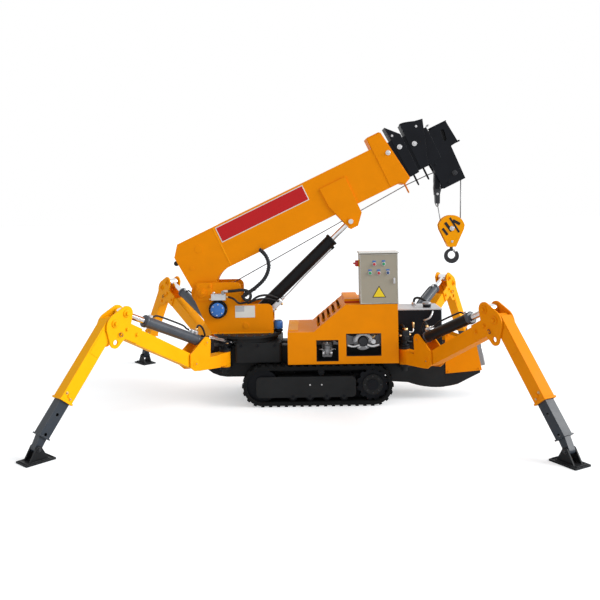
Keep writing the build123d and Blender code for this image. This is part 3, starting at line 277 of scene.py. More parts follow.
ORANGE = surface("orange_paint", (0.85, 0.262, 0.0003), 0.46, spread=0.04, wear=(0.92, 0.36, 0.01),
                 bump=0.02, shine=0.07)
YELLOW = surface("yellow_paint", (0.95, 0.36, 0.0004), 0.44, spread=0.04, wear=(1.0, 0.46, 0.03),
                 bump=0.02, shine=0.08)
# Painted light: a lighter, yellower copy of the yellow paint, for the rear right outrigger's sunlit
# side
LIT_YELLOW = surface("bright_yellow_paint", (0.97, 0.42, 0.0004), 0.44, spread=0.04,
                        wear=(1.0, 0.58, 0.03), bump=0.02, shine=0.08)
BLACK = surface("black_paint", (0.0075, 0.0085, 0.0115), 0.42, spread=0.2,
                wear=(0.035, 0.037, 0.04), bump=0.03, shine=0.12)
FRAME_BLACK = surface("frame_paint", (0.0165, 0.0175, 0.0185), 0.45, spread=0.2,
                      wear=(0.05, 0.052, 0.055), bump=0.03, shine=0.12)
LEG_GREY = surface("grey_steel", (0.024, 0.031, 0.041), 0.3, spread=0.15, wear=(0.16, 0.17, 0.18),
                   bump=0.05)
FOOT_BLACK = surface("foot_paint", (0.011, 0.012, 0.0135), 0.45, spread=0.2,
                     wear=(0.08, 0.085, 0.09), bump=0.05, shine=0.15)
BARREL = surface("barrel_paint", (0.055, 0.064, 0.078), 0.32, spread=0.12, wear=(0.2, 0.22, 0.25),
                 coat=0.15, bump=0.02)
DARK_BARREL = surface("dark_barrel", (0.0075, 0.008, 0.009), 0.34, spread=0.15,
                      wear=(0.05, 0.05, 0.055), bump=0.02, shine=0.15)
CABINET = surface("cabinet_paint", (0.36, 0.325, 0.255), 0.45, spread=0.03, wear=(0.55, 0.53, 0.48),
                  bump=0.03, grain=900)
LID = surface("lid_paint", (0.78, 0.78, 0.75), 0.4, spread=0.03, wear=(0.75, 0.75, 0.72), bump=0.03)
RUBBER = surface("track_rubber", (0.0075, 0.008, 0.0085), 0.75, spread=0.25, grain=150, bump=0.3,
                 edge=0.004, wear=(0.022, 0.023, 0.024), shine=0.1)
CAST = surface("cast_metal", (0.33, 0.33, 0.34), 0.42, metallic=0.75, spread=0.2, grain=120,
               bump=0.25, spots=0.7)
STEEL = surface("zinc_steel", (0.62, 0.62, 0.63), 0.3, metallic=0.9, spread=0.1, bump=0.06,
                spots=0.3, edge=0.001)
FORGED = surface("forged_steel", (0.035, 0.036, 0.04), 0.38, metallic=0.4, spread=0.25,
                 wear=(0.2, 0.2, 0.21), bump=0.15)
CHROME = surface("chrome_rod", (0.78, 0.79, 0.81), 0.12, metallic=1.0, spread=0.03, bump=0.01,
                 edge=0.0015)
BRASS = surface("brass_fitting", (0.62, 0.42, 0.2), 0.3, metallic=0.9, spread=0.12, bump=0.05,
                edge=0.001)
TANK_GREY = surface("tank_grey", (0.5, 0.51, 0.53), 0.35, wear=(0.7, 0.7, 0.72))
BLUE = surface("blue_cap", (0.03, 0.16, 0.52), 0.35, spread=0.1, coat=0.3)
SIGN_RED = surface("sign_red", (0.5, 0.003, 0.006), 0.4, spread=0.04, bump=0.01)
SIGN_WHITE = surface("sign_white", (0.75, 0.74, 0.7), 0.4, spread=0.03, bump=0.01)
SIGN_YELLOW = surface("sign_yellow", (0.85, 0.62, 0.02), 0.4, spread=0.03, bump=0.01)
HOSE = surface("hose_rubber", (0.009, 0.009, 0.01), 0.5, spread=0.2, bump=0.1)
BUTTON_RED = surface("button_red", (0.5, 0.012, 0.015), 0.3, spread=0.05, bump=0.01, coat=0.5)
BUTTON_GREEN = surface("button_green", (0.01, 0.3, 0.1), 0.3, spread=0.05, bump=0.01, coat=0.5)
BUTTON_BLUE = surface("button_blue", (0.02, 0.06, 0.2), 0.3, spread=0.05, bump=0.01, coat=0.5)
ROPE_STEEL = banded("wire_rope", (0.34, 0.34, 0.35), (0.1, 0.1, 0.1), 90, "DIAGONAL", 0.35, 0.8)
ROPE_WOUND = banded("wound_rope", (0.3, 0.3, 0.31), (0.05, 0.05, 0.05), 60, "Y", 0.4, 0.8)
COOLER = banded("cooler_fins", (0.42, 0.43, 0.44), (0.1, 0.1, 0.11), 55, "Z", 0.4, 0.6)

CAD_LOOKS = {
    "turret": ORANGE, "hood": ORANGE, "boom_base": ORANGE, "tail_panels": ORANGE,
    "chassis_frame": FRAME_BLACK, "track_frames": FRAME_BLACK, "slew_ring": FRAME_BLACK,
    "slew_deck": FRAME_BLACK,
    "boom_section_2": BLACK, "boom_section_3": BLACK, "boom_section_4": BLACK,
    "track_rollers": BLACK, "tank": BLACK, "drive_motors": DARK_BARREL, "wedge_socket": FORGED,
    "track_right": RUBBER, "track_left": RUBBER, "engine": CAST, "pumps": CAST,
    "cooler": COOLER, "valve_block": STEEL, "control_cabinet": CABINET, "cabinet_door": CABINET,
    "hook_block": YELLOW, "winch_drum": FORGED, "head_sheave": FORGED, "block_sheave": FORGED,
    "hook": FORGED, "lift_barrel": DARK_BARREL, "lift_rod": CHROME,
}
# Painted light and shade: the rear right outrigger takes the lit yellow copy and the front right one
# takes the orange paint as a shaded copy, in place of the yellow that all four carry
LEG_LIT_AND_SHADED_PAINTS = {"rear_right": LIT_YELLOW, "front_right": ORANGE}
for leg in OUTRIGGERS:
    for part in ("bracket", "arm", "leg"):
        CAD_LOOKS[f"{part}_{leg.name}"] = LEG_LIT_AND_SHADED_PAINTS.get(leg.name, YELLOW)
    CAD_LOOKS[f"jack_barrel_{leg.name}"] = BARREL
    CAD_LOOKS[f"jack_rod_{leg.name}"] = CHROME
    CAD_LOOKS[f"inner_leg_{leg.name}"] = LEG_GREY
    CAD_LOOKS[f"foot_{leg.name}"] = FOOT_BLACK
CAD_LOOKS["bracket_rear_right"] = YELLOW
# Painted shade: the front right jack barrel takes the near-black barrel paint, darker than the other
# jacks, for its shaded side
CAD_LOOKS["jack_barrel_front_right"] = DARK_BARREL
for name, cad_node in nodes.items():
    cad_node.data.materials.clear()
    cad_node.data.materials.append(CAD_LOOKS[name])


# Pieces


def add(name, data):
    """Put new data into the scene as an object."""
    made = bpy.data.objects.new(name, data)
    bpy.context.scene.collection.objects.link(made)
    return made


def round_loop(middle, side, across, radius, count):
    """Places on a circle in space, from two directions that are square to each other."""
    turns = [2 * pi * index / count for index in range(count)]
    return [middle + (side * cos(turn) + across * sin(turn)) * radius for turn in turns]


class Piece:
    """Mesh built from turned, extruded and bent forms, all given in millimetres in one frame."""

    def __init__(self, name, body, place=MACHINE):
        self.name, self.body, self.place = name, body, place
        self.mesh = bmesh.new()
        self.looks = []

    def look(self, material):
        if material not in self.looks:
            self.looks.append(material)
        return self.looks.index(material)

    def faces(self, rings, material, smooth=True, closed=False):
        """Skin rings of places, each a list of Vectors in millimetres."""
        slot = self.look(material)
        made = [[self.mesh.verts.new(p / 1000) for p in ring] for ring in rings]
        count = len(made[0])
        pairs = list(zip(made, made[1:]))
        if closed:
            pairs.append((made[-1], made[0]))
        for near, far in pairs:
            for i in range(count):
                j = (i + 1) % count
                face = self.mesh.faces.new((near[i], near[j], far[j], far[i]))
                face.material_index, face.smooth = slot, smooth
        if not closed:
            for ring in (made[0][::-1], made[-1]):
                face = self.mesh.faces.new(ring)
                face.material_index = slot

    def turn(self, start, end, profile, material, sides=32):
        """Turn a profile of (distance along, radius) pairs about the line from start to end."""
        start, end = Vector(start), Vector(end)
        along = (end - start).normalized()
        side = along.orthogonal().normalized()
        across = along.cross(side)
        rings = []
        for distance, radius in profile:
            rings.append(round_loop(start + along * distance, side, across, radius, sides))
        self.faces(rings, material)

    def rod(self, start, end, radius, material):
        """Round bar with chamfered ends."""
        length = (Vector(end) - Vector(start)).length
        cut = min(radius, length) * 0.18
        profile = ((0, radius - cut), (cut, radius), (length - cut, radius), (length, radius - cut))
        self.turn(start, end, profile, material, 28)

    def bolt(self, base, direction, size, material=None, washer=True):
        """Hexagon bolt head on a washer, its size the width over the flats."""
        material = material or STEEL
        base, direction = Vector(base), Vector(direction).normalized()
        if washer:
            self.rod(base, base + direction * size * 0.12, size * 0.85, material)
            base = base + direction * size * 0.12
        corner = size / 2 / cos(pi / 6)
        height = size * 0.55
        profile = ((0, corner), (height * 0.8, corner), (height, corner * 0.85))
        self.turn(base, base + direction * height, profile, material, 6)

    def plate(self, outline, low, high, material, chamfer=1.0):
        """Outline in x and z, extruded along y, with a small chamfer."""
        middle = Vector((sum(p[0] for p in outline), sum(p[1] for p in outline))) / len(outline)

        def ring(y, inset):
            made = []
            for x, z in outline:
                way = Vector((x, z)) - middle
                way = way * max(0, 1 - inset * 1.4 / max(way.length, 1))
                made.append(Vector((middle.x + way.x, y, middle.y + way.y)))
            return made

        cut = min(chamfer, (high - low) / 2.5)
        rings = [ring(low, cut), ring(low + cut, 0), ring(high - cut, 0), ring(high, cut)]
        self.faces(rings, material, smooth=False)

    def boss(self, place, side, inner, outer, radius, material):
        """Round bar across the machine at an (x, z) place, between two faces on one side."""
        start, end = (Vector((place[0], side * face, place[1])) for face in (inner, outer))
        self.rod(start, end, radius, material)

    def side_bolt(self, place, side, face, size, material=None, washer=True):
        """Bolt head at an (x, z) place that points outwards from a side face."""
        base = (place[0], side * face, place[1])
        self.bolt(base, (0, side, 0), size, material, washer)

    def side_plate(self, outline, side, inner, outer, material, chamfer=1.0):
        """Plate on one side, between two distances from the middle."""
        self.plate(outline, *sorted((side * inner, side * outer)), material, chamfer)

    def block(self, centre, size, material, chamfer=2.0):
        """Box with chamfered edges."""
        c, s = Vector(centre), Vector(size) / 2
        cut = min(chamfer, min(s) * 0.6)
        rings = []
        for z, inset in ((-s.z, cut), (-s.z + cut, 0), (s.z - cut, 0), (s.z, cut)):
            x, y = s.x - inset, s.y - inset
            k = cut
            rings.append([
                c + Vector(p) for p in (
                    (x - k, -y, z), (x, -y + k, z), (x, y - k, z), (x - k, y, z),
                    (-x + k, y, z), (-x, y - k, z), (-x, -y + k, z), (-x + k, -y, z),
                )
            ])
        self.faces(rings, material, smooth=False)

    def tube(self, points, radius, material, steps=6):
        """Bent tube along a smooth line that keeps near the given points."""
        self.sweep(smooth_line(points, steps), radius, material)

    def sweep(self, line, radius, material, sides=12, closed=False):
        """Round bar along a line of Vectors, which may be closed."""
        rings = []
        side = None
        count = len(line)
        for index, point in enumerate(line):
            before = line[index - 1] if index or closed else point
            after = line[(index + 1) % count] if index < count - 1 or closed else point
            along = (after - before).normalized()
            if side is None:
                side = along.orthogonal().normalized()
            side = (side - along * side.dot(along)).normalized()
            rings.append(round_loop(point, side, along.cross(side), radius, sides))
        self.faces(rings, material, closed=closed)

    def ring(self, centre, normal, radius, thickness, material):
        """Round ring of round bar."""
        centre, normal = Vector(centre), Vector(normal).normalized()
        side = normal.orthogonal().normalized()
        line = round_loop(centre, side, normal.cross(side), radius, 28)
        self.sweep(line, thickness, material, 10, closed=True)

    def done(self):
        """Put the piece into the scene, to ride with its body if it has one."""
        data = bpy.data.meshes.new(self.name)
        bmesh.ops.recalc_face_normals(self.mesh, faces=self.mesh.faces)
        self.mesh.transform(self.place)
        self.mesh.to_mesh(data)
        self.mesh.free()
        for material in self.looks:
            data.materials.append(material)
        made = add(self.name, data)
        if self.body:
            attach(made, self.body)
        return made


def smooth_line(points, steps):
    """Points along a smooth curve that keeps near the given corners and meets both ends."""
    curve = bpy.data.curves.new("line", "CURVE")
    curve.dimensions = "3D"
    spline = curve.splines.new("NURBS")
    spline.points.add(len(points) - 1)
    for place, point in zip(spline.points, points):
        place.co = (*point, 1)
    spline.order_u = 3
    spline.use_endpoint_u = True
    spline.resolution_u = steps
    carrier = bpy.data.objects.new("line", curve)
    mesh = bpy.data.meshes.new_from_object(carrier)
    line = [v.co.copy() for v in mesh.vertices]
    bpy.data.meshes.remove(mesh)
    bpy.data.objects.remove(carrier)
    bpy.data.curves.remove(curve)
    return line


# Hoist rope: distance from the middle of the boom, radius, and half the width of its guides
ROPE_SIDE = 64
ROPE_RADIUS = 5
LOOP_HALF = 22


def guide_loop(along, top, bottom):
    """Corners of a round bar loop under the boom, beside the rope socket."""
    return [
        (along, ROPE_SIDE + share * LOOP_HALF, height) for share, height in (
            (-1, top), (-1, bottom + 40), (-0.85, bottom + 10), (0, bottom), (0.85, bottom + 10),
            (1, bottom + 40), (1, top),
        )
    ]


# Boom: blank sign, seam with a painted highlight, collar doubler, washers, bumper and rope guide
SIGN = (384, 356, 1334, 516)
SIGN_RIM = 8
COLLAR = ((2100, 120), (2190, 125), (2238, 90), (2303, 118), (2238, 634), (2100, 640))
COLLAR_WASHER = (2224, 428)
GUIDE_BAR = 6
boom = Piece("boom_trim", "boom", BOOM)
for side in (-1, 1):
    boom.side_plate(rectangle(*SIGN), side, BOOM_FACE, BOOM_FACE + 1.6, SIGN_WHITE, 0.4)
    inside = [edge + SIGN_RIM for edge in SIGN[:2]] + [edge - SIGN_RIM for edge in SIGN[2:]]
    boom.side_plate(rectangle(*inside), side, BOOM_FACE + 0.5, BOOM_FACE + 2.2, SIGN_RED, 0.4)
    # Raised seam at the end of the root plate, in lighter yellow as a painted highlight along its
    # edge
    seam = rectangle(360, 114, 370, 530)
    boom.side_plate(seam, side, BOOM_FACE - 2, BOOM_FACE + 2.5, YELLOW, 1.5)
    boom.side_plate(COLLAR, side, BOOM_FACE - 1, BOOM_FACE + 5, ORANGE, 2)
    boom.boss(COLLAR_WASHER, side, BOOM_FACE, BOOM_FACE + 11, 25, STEEL)
    boom.side_bolt(COLLAR_WASHER, side, BOOM_FACE + 10, 24, washer=False)
    boom.boss((8, 260), side, BOOM_FACE, BOOM_FACE + 3, 22, ORANGE)
    boom.boss((150, 400), side, BOOM_FACE, BOOM_FACE + 2.5, 40, ORANGE)
    boom.boss(LIFT_EYE, side, 139, 147, 34, ORANGE)
    boom.boss(LIFT_EYE, side, 146, 152, 24, STEEL)
boom.block((2168, 0, 646), (130, 236, 10), ORANGE)
boom.rod((-122, -60, 370), (-122, 60, 370), 26, HOSE)
boom.tube(guide_loop(2262, 112, -20), GUIDE_BAR, ORANGE)
boom.done()

# Inner sections: body, place, top and bottom of the rope guide, outer face, washer and bolt
SECTIONS = (
    ("section_2", 2385, 120, 6, 111, (2352, 430), (2335, 560)),
    ("section_3", 2500, 160, 12, 93, (2499, 395), (2590, 540)),
)
for body, along, top, bottom, face, washer, bolt in SECTIONS:
    section = Piece(f"{body}_trim", body, BOOM)
    section.tube(guide_loop(along, top, bottom), GUIDE_BAR, BLACK)
    for side in (-1, 1):
        section.boss(washer, side, face, face + 10, 25, STEEL)
        section.side_bolt(washer, side, face + 9, 24, washer=False)
        section.side_bolt(bolt, side, face, 14)
    if body == "section_3":
        section.tube(((2468, 0, 612), (2455, 0, 630), (2520, 0, 626), (2630, 0, 584)), 9, BLACK)
        section.rod((2600, -70, 585), (2600, 70, 585), 10, BLACK)
    section.done()

# Head: bolts, pin, end plates, and near-black plates inside its slot as painted shade
head = Piece("head_trim", "section_4", BOOM)
for side in (-1, 1):
    head.side_bolt(HEAD_SHEAVE, side, 69, 30, FORGED)
    for place in ((2602, 120), (2640, -95)):
        head.side_bolt(place, side, 64, 16, BLACK)
head.rod((2709, -58, 500), (2709, 58, 500), 9, STEEL)
head.block((2900, 0, 229), (34, 150, 16), BLACK)
head.block((2792, 0, 462), (180, 150, 10), BLACK)
# Painted shade: near-black plates inside the slot stand in for its shaded interior
for side in (-1, 1):
    head.side_plate(rectangle(2750, 270, 2850, 420), side, 14, 20, HOSE)
head.done()

# Turret: plate, bosses, winch and slewing motors, valves and hoses
turret = Piece("turret_trim", "upper")
turret.side_plate(rectangle(-762, 810, -570, 926), -1, TURRET_FACE, TURRET_FACE + 1.6,
                  SIGN_WHITE, 0.3)
turret.side_plate(rectangle(-758, 868, -672, 921), -1, TURRET_FACE + 1, TURRET_FACE + 2.2,
                  TANK_GREY, 0.3)
for side in (-1, 1):
    turret.boss(PIVOT, side, CHEEK_FACE, CHEEK_FACE + 11, 44, ORANGE)
    turret.side_bolt(PIVOT, side, CHEEK_FACE + 10, 30, ORANGE)
    for place in ((-1125, 1120), (-1005, 1120), (-1125, 1010), (-1005, 1010)):
        turret.side_bolt(place, side, CHEEK_FACE, 15, ORANGE)
    turret.side_plate(rectangle(-1000, 656, -394, 666), side, TURRET_FACE, TURRET_FACE + 7, YELLOW)
turret.turn((WINCH_MOTOR[0], -226, WINCH_MOTOR[1]), (WINCH_MOTOR[0], -240, WINCH_MOTOR[1]),
            ((0, 66), (4, 68), (10, 64), (13, 40)), BLUE)
turret.boss(WINCH_MOTOR, -1, 238, 242, 30, BLUE)
for place in circle(WINCH_MOTOR, 52, 6, 0.4):
    turret.side_bolt(place, -1, 236, 11, washer=False)
for place in circle(WINCH_MOTOR, 79, 8):
    turret.side_bolt(place, -1, 195, 12, FORGED, washer=False)
turret.turn((*SLEW_MOTOR, 684), (*SLEW_MOTOR, 766),
            ((0, 42), (6, 46), (62, 46), (76, 40), (82, 24)), BLUE)
turret.rod((*SLEW_MOTOR, 656), (*SLEW_MOTOR, 676), 46, BLACK)
turret.block((-872, -225, 1062), (30, 34, 30), CAST)
turret.rod((-872, -225, 1075), (-820, -225, 1075), 13, STEEL)
turret.rod((-846, -226, 1020), (-822, -226, 1020), 12, BRASS)
turret.rod((-960, -226, 1051), (-960, -226, 1072), 11, STEEL)
turret.rod((-986, -226, 1000), (-1004, -226, 1000), 10, BRASS)
for x in (-955, -916, -878):
    turret.bolt((x, -285, 1038), (0, -1, 0), 11, washer=False)
turret.tube(((-822, -225, 1075), (-760, -225, 1078), (-700, -222, 1086), (-640, -205, 1078),
             (-602, -200, 1040), (-612, -205, 990), (-650, -212, 980), (-680, -214, 1010),
             (-664, -210, 1050), (-620, -200, 1066), (-560, -190, 1090)), 15, HOSE, steps=8)
turret.tube(((-822, -226, 1020), (-770, -232, 1010), (-730, -220, 960), (-700, -180, 948),
             (-640, -130, 960)), 10, HOSE)
turret.done()

# Drum with its wound rope
WRAPS = 25
WRAP_STEPS = 24
WRAP_RADIUS = 83
WRAP_HALF = 104
drum = Piece("drum_rope", "drum")
turns = []
for index in range(WRAPS * WRAP_STEPS + 1):
    turn = 2 * pi * index / WRAP_STEPS
    across = -WRAP_HALF + 2 * WRAP_HALF * index / (WRAPS * WRAP_STEPS)
    turns.append(Vector((DRUM[0] + WRAP_RADIUS * cos(turn), across,
                         DRUM[1] + WRAP_RADIUS * sin(turn))))
drum.sweep(turns, ROPE_RADIUS, ROPE_WOUND, 8)
drum.done()

# Hood: louvre frames, raised top, stripe, front seam and window frames
SLOPE_MIDDLE = (147, 822)
SLOPE_RUN = (306, 252)
LOUVRES = 5
LOUVRE_PITCH = 64
# Windows: middle, width and height
WINDOWS = ((122, 519, 203, 194), (464, 570, 325, 206))
hood = Piece("hood_trim", "chassis")
for index in range(LOUVRES):
    share = (index - LOUVRES // 2) * LOUVRE_PITCH / hypot(*SLOPE_RUN)
    x, z = SLOPE_MIDDLE[0] + share * SLOPE_RUN[0], SLOPE_MIDDLE[1] + share * SLOPE_RUN[1]
    for y in (-262, 262):
        hood.tube(((x - 12, y, z - 8), (x - 10, y, z + 12), (x + 16, y, z + 28)), 4, ORANGE)
    hood.sweep([Vector((x - 16, -272, z - 4)), Vector((x - 16, 272, z - 4))], 5, ORANGE, 10)
hood.block((370, 40, 966), (150, 560, 36), ORANGE, 5)
hood.block((372, -242, 955), (146, 6, 13), SIGN_RED, 2)
hood.block((-200, 0, 699), (96, 600, 6), YELLOW, 2)
for x, z, width, height in WINDOWS:
    outline = rectangle(x - width / 2, z - height / 2, x + width / 2, z + height / 2)
    for side in (-1, 1):
        corners = [Vector((p[0], side * WINDOW_FACE, p[1])) for p in outline]
        hood.sweep(corners, 5, BLACK, 8, closed=True)
hood.done()

# Cabinet: buttons with their labels, warning plate, handle and edge of the door, then the box
cabinet = Piece("cabinet_trim", "door")
BUTTONS = (
    (574, 1325, BUTTON_RED), (662, 1327, BUTTON_GREEN), (534, 1243, BUTTON_GREEN),
    (615, 1242, BUTTON_RED), (701, 1244, BUTTON_BLUE),
)
for x, z, material in BUTTONS:
    cabinet.turn((x, -DOOR_FACE, z), (x, -DOOR_FACE - 12, z),
                 ((0, 20), (3, 20), (6, 18), (12, 17)), TANK_GREY)
    cabinet.turn((x, -DOOR_FACE - 10, z), (x, -DOOR_FACE - 19, z), ((0, 13), (6, 13), (9, 9)),
                 material)
    cabinet.side_plate(rectangle(x - 16, z + 21, x + 16, z + 33), -1, DOOR_FACE, DOOR_FACE + 1.5,
                       BLUE, 0.4)
cabinet.side_plate(((551, 1012), (681, 1012), (616, 1122)), -1, DOOR_FACE, DOOR_FACE + 1.2,
                   HOSE, 0.4)
cabinet.side_plate(((562, 1018), (670, 1018), (616, 1110)), -1, DOOR_FACE + 0.6, DOOR_FACE + 1.8,
                   SIGN_YELLOW, 0.4)
cabinet.block((759, -384, 1168), (20, 8, 56), STEEL, 3)
cabinet.rod((759, -384, 1180), (759, -396, 1180), 8, STEEL)
cabinet.block((759, -397, 1164), (9, 6, 44), STEEL, 2)
cabinet.sweep([Vector((p[0], -DOOR_FACE - 0.5, p[1])) for p in rectangle(445, 958, 791, 1416)],
              2.2, LID, 8, closed=True)
cabinet.done()
box_trim = Piece("cabinet_box_trim", "chassis")
box_trim.block((618, -280, 1434), (380, 222, 16), LID, 4)
box_trim.rod((438, -300, 1330), (400, -300, 1330), 30, BUTTON_RED)
box_trim.block((392, -300, 1330), (22, 56, 16), BUTTON_RED, 4)
box_trim.rod((440, -300, 1330), (434, -300, 1330), 38, SIGN_YELLOW)
for z in (1000, 1370):
    box_trim.rod((441, -372, z), (441, -372, z + 44), 6, STEEL)
box_trim.done()

# Tank top, filler, gauge and pipes
tank = Piece("tank_trim", "chassis")
tank.block((1020, 0, 865), (444, 374, 14), TANK_GREY, 3)
tank.turn((1110, -90, 900), (1110, -90, 928), ((0, 44), (18, 44), (24, 38), (28, 20)), CAST)
tank.rod((1010, 80, 872), (1010, 80, 905), 24, STEEL)
tank.tube(((1010, 80, 900), (1010, 80, 940), (1060, 60, 950), (1120, 30, 920), (1160, 0, 872)),
          12, HOSE)
tank.rod((876, -230, 640), (876, -230, 700), 26, BRASS)
tank.rod((876, -230, 610), (876, -230, 640), 18, STEEL)
tank.rod((830, -230, 655), (922, -230, 655), 12, STEEL)
tank.rod((955, -215, 690), (955, -215, 750), 11, BRASS)
tank.tube(((922, -230, 655), (950, -230, 655), (955, -218, 680), (955, -215, 700)), 8, STEEL)
tank.tube(((876, -230, 615), (876, -232, 580), (910, -225, 560), (960, -205, 560)), 10, HOSE)
tank.tube(((1060, -186, 760), (1090, -215, 770), (1130, -225, 800), (1150, -190, 850)), 9, STEEL)
tank.done()

# Engine and pumps behind the windows: arch, hub, pipes, fins and bolts
ENGINE_SIDE = 320
PUMP_SIDE = 300
ARCH_STEPS = 12
PUMP_FINS = 4
engine = Piece("engine_trim", "chassis")
for side in (-1, 1):
    y = side * ENGINE_SIDE
    turns = [pi * index / ARCH_STEPS for index in range(ARCH_STEPS + 1)]
    arch = [Vector((ENGINE_HUB[0] + 72 * cos(turn), y + side * 20,
                    ENGINE_HUB[1] + 10 + 66 * sin(turn))) for turn in turns]
    engine.sweep(arch, 17, TANK_GREY, 12)
    engine.boss(ENGINE_HUB, side, ENGINE_SIDE - 60, ENGINE_SIDE + 8, 48, FORGED)
    for place in circle(ENGINE_HUB, 68, 6):
        engine.side_bolt(place, side, 270, 14)
    engine.tube(((310, y, 560), (350, y, 540), (400, y, 545), (430, y + side * 10, 560)), 13, STEEL)
    engine.tube(((500, y, 560), (540, y, 540), (580, y, 548), (622, y, 560)), 15, STEEL)
    engine.tube(((310, y - side * 40, 660), (360, y - side * 40, 640), (400, y, 650),
                 (440, y, 668)), 9, HOSE)
    engine.tube(((530, y, 640), (560, y, 620), (580, y, 660), (622, y - side * 30, 668)), 10, BRASS)
    engine.boss((560, 590), side, ENGINE_SIDE - 30, ENGINE_SIDE + 14, 26, STEEL)
    y = side * PUMP_SIDE
    for index in range(PUMP_FINS):
        z = 520 + 16 * index
        engine.rod((PUMP_X, y, z), (PUMP_X, y, z + 8), 46, CAST)
    engine.rod((PUMP_X, y, 470), (PUMP_X, y, 560), 34, CAST)
    engine.rod((PUMP_X, y, 560), (PUMP_X, y, 590), 14, STEEL)
    engine.tube(((PUMP_X, y, 580), (150, y, 612), (190, y, 612), (222, y, 590)), 8, HOSE)
    engine.rod((40, side * 310, 520), (200, side * 310, 520), 7, STEEL)
    for x in (84, 160):
        engine.rod((x, side * 318, 470), (x, side * 318, 500), 14, STEEL)
engine.done()

# Tracks: bolts, roller caps, sprocket bolts and caps, and a dark plate behind the side frame
tracks = Piece("track_trim", "chassis")
for side in (-1, 1):
    for x in (-48, 62):
        tracks.side_bolt((x, 201), side, TRACK_FACE, 9)
    for x in (-210, -50, 110, 270):
        tracks.boss((x, 96), side, TRACK_FACE, TRACK_FACE + 3, 14, BLACK)
    for place in circle(SPROCKET, 76, 8):
        tracks.side_bolt(place, side, 370, 13, FORGED, washer=False)
    tracks.boss(SPROCKET, side, 368, 378, 52, BLACK)
    tracks.side_plate(((-540, 44), (560, 44), (620, 90), (560, 130), (-540, 132)), side, 236, 244,
                      BLACK, 2)
tracks.done()

# Slewing ring bolts, apart from where the slewing motor stands
ring = Piece("ring_bolts", "upper")
for x, y in circle((SLEW_CENTRE_X, 0), 320, 24):
    if hypot(x - SLEW_MOTOR[0], y - SLEW_MOTOR[1]) > 60:
        ring.bolt((x, y, 656), (0, 0, 1), 18, FORGED)
ring.done()

# Chassis: pipes to the hood, platform bolts, rear side plates and the belly plate
REAR_PLATE = ((-1060, 352), (-1060, 534), (-900, 534), (-900, 300), (-960, 302))
BELLY_PLATE = ((-1060, 350), (-1042, 320), (-985, 278), (-915, 251), (-850, 241), (-640, 241),
               (-612, 262), (-612, 300), (-870, 300), (-975, 314))
pipes = Piece("chassis_pipes", "chassis")
for y, z in ((-150, 562), (-175, 575)):
    pipes.tube(((-316, y, z), (-290, y, z + 3), (-270, y, z - 2), (-250, y, z - 2)), 9, HOSE)
for side in (-1, 1):
    for x in (-700, -540, -380):
        pipes.side_bolt((x, 560), side, 300, 18, BLACK)
    pipes.plate(REAR_PLATE, side * CORE_FACE, side * (CORE_FACE + 4), BLACK)
pipes.plate(BELLY_PLATE, -CORE_FACE + 4, CORE_FACE - 4, FRAME_BLACK, 6)
pipes.done()

# Tail: panel bolts, cooler frame and its bars
COOLER_FOOT = (1645, 322)
COOLER_TOP = (1609, 540)
COOLER_HALF = 172
COOLER_BARS = 9
tail = Piece("tail_trim", "chassis")
for side in (-1, 1):
    for place in ((1290, 610), (1290, 265), (1545, 512), (1585, 285)):
        tail.side_bolt(place, side, TAIL_FACE, 13, ORANGE)
corners = [Vector((x, y, z)) for (x, z), y in (
    (COOLER_FOOT, -COOLER_HALF), (COOLER_FOOT, COOLER_HALF),
    (COOLER_TOP, COOLER_HALF), (COOLER_TOP, -COOLER_HALF))]
tail.sweep(corners, 6, STEEL, 10, closed=True)
for index in range(COOLER_BARS):
    share = (index + 1) / (COOLER_BARS + 1)
    x = COOLER_FOOT[0] + (COOLER_TOP[0] - COOLER_FOOT[0]) * share
    z = COOLER_FOOT[1] + (COOLER_TOP[1] - COOLER_FOOT[1]) * share
    tail.sweep([Vector((x, -COOLER_HALF, z)), Vector((x, COOLER_HALF, z))], 1.8, STEEL, 6)
tail.done()

# Hook block: stripes, axle caps and bolts, in a frame at its sheave; then the hook's latch
BLOCK_OFFSET = (-33, -547)
HOOK_DROP = 821
# Stripes: start, end and width
STRIPES = (
    ((-66, 58), (-4, -28), 28), ((12, 78), (80, 40), 28), ((-92, 0), (-44, -64), 24),
    ((-18, 104), (70, -40), 19),
)
SHEAVE = boom_place(*HEAD_SHEAVE)[::2]
BLOCK = (SHEAVE[0] + BLOCK_OFFSET[0], SHEAVE[1] + BLOCK_OFFSET[1])
block = Piece("block_trim", "block", axes(at(BLOCK[0], 0, BLOCK[1])))
for side in (-1, 1):
    for start, end, width in STRIPES:
        start, end = Vector(start), Vector(end)
        run = end - start
        square = Vector((-run.y, run.x)).normalized() * width / 2
        outline = [start + square, end + square, end - square, start - square]
        block.side_plate(outline, side, BLOCK_FACE, BLOCK_FACE + 3.5, HOSE, 0.6)
    block.boss((0, 0), side, BLOCK_FACE + 3, BLOCK_FACE + 12, 24, STEEL)
    block.side_bolt((0, 0), side, BLOCK_FACE + 10, 20, washer=False)
    block.side_bolt((0, -130), side, BLOCK_FACE + 1, 14)
block.done()
latch = Piece("hook_latch", "hook", axes(at(BLOCK[0], 0, SHEAVE[1] - HOOK_DROP)))
latch.plate(((8, 66), (30, 66), (62, 8), (50, 2)), -10, 10, TANK_GREY, 1.5)
latch.rod((18, -17, 60), (18, 17, 60), 5, STEEL)
latch.done()

# Hoist rope: from the drum past the guides and over the head sheave to the block
HOIST_LINE = ((2262, 62, ROPE_SIDE), (2385, 60, ROPE_SIDE), (2500, 58, 52), (2640, 46, 41),
              (2735, 41, 0))
DRUM_EXIT = (-882, 98, 1082)
FRONT_FALL_RADIUS = 5.5
REAR_FALL_RADIUS = 4.5
ANCHOR = (SHEAVE[0] - 165, SHEAVE[1] + 45)
SOCKET_LENGTH = 335


def straight_rope(name, start, end, radius=ROPE_RADIUS):
    """Taut rope between two bodies, with nothing between its ends to bend."""
    rope = Piece(name, None)
    rope.sweep([Vector(start), Vector(end)], radius, ROPE_STEEL)
    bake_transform(rope.done())


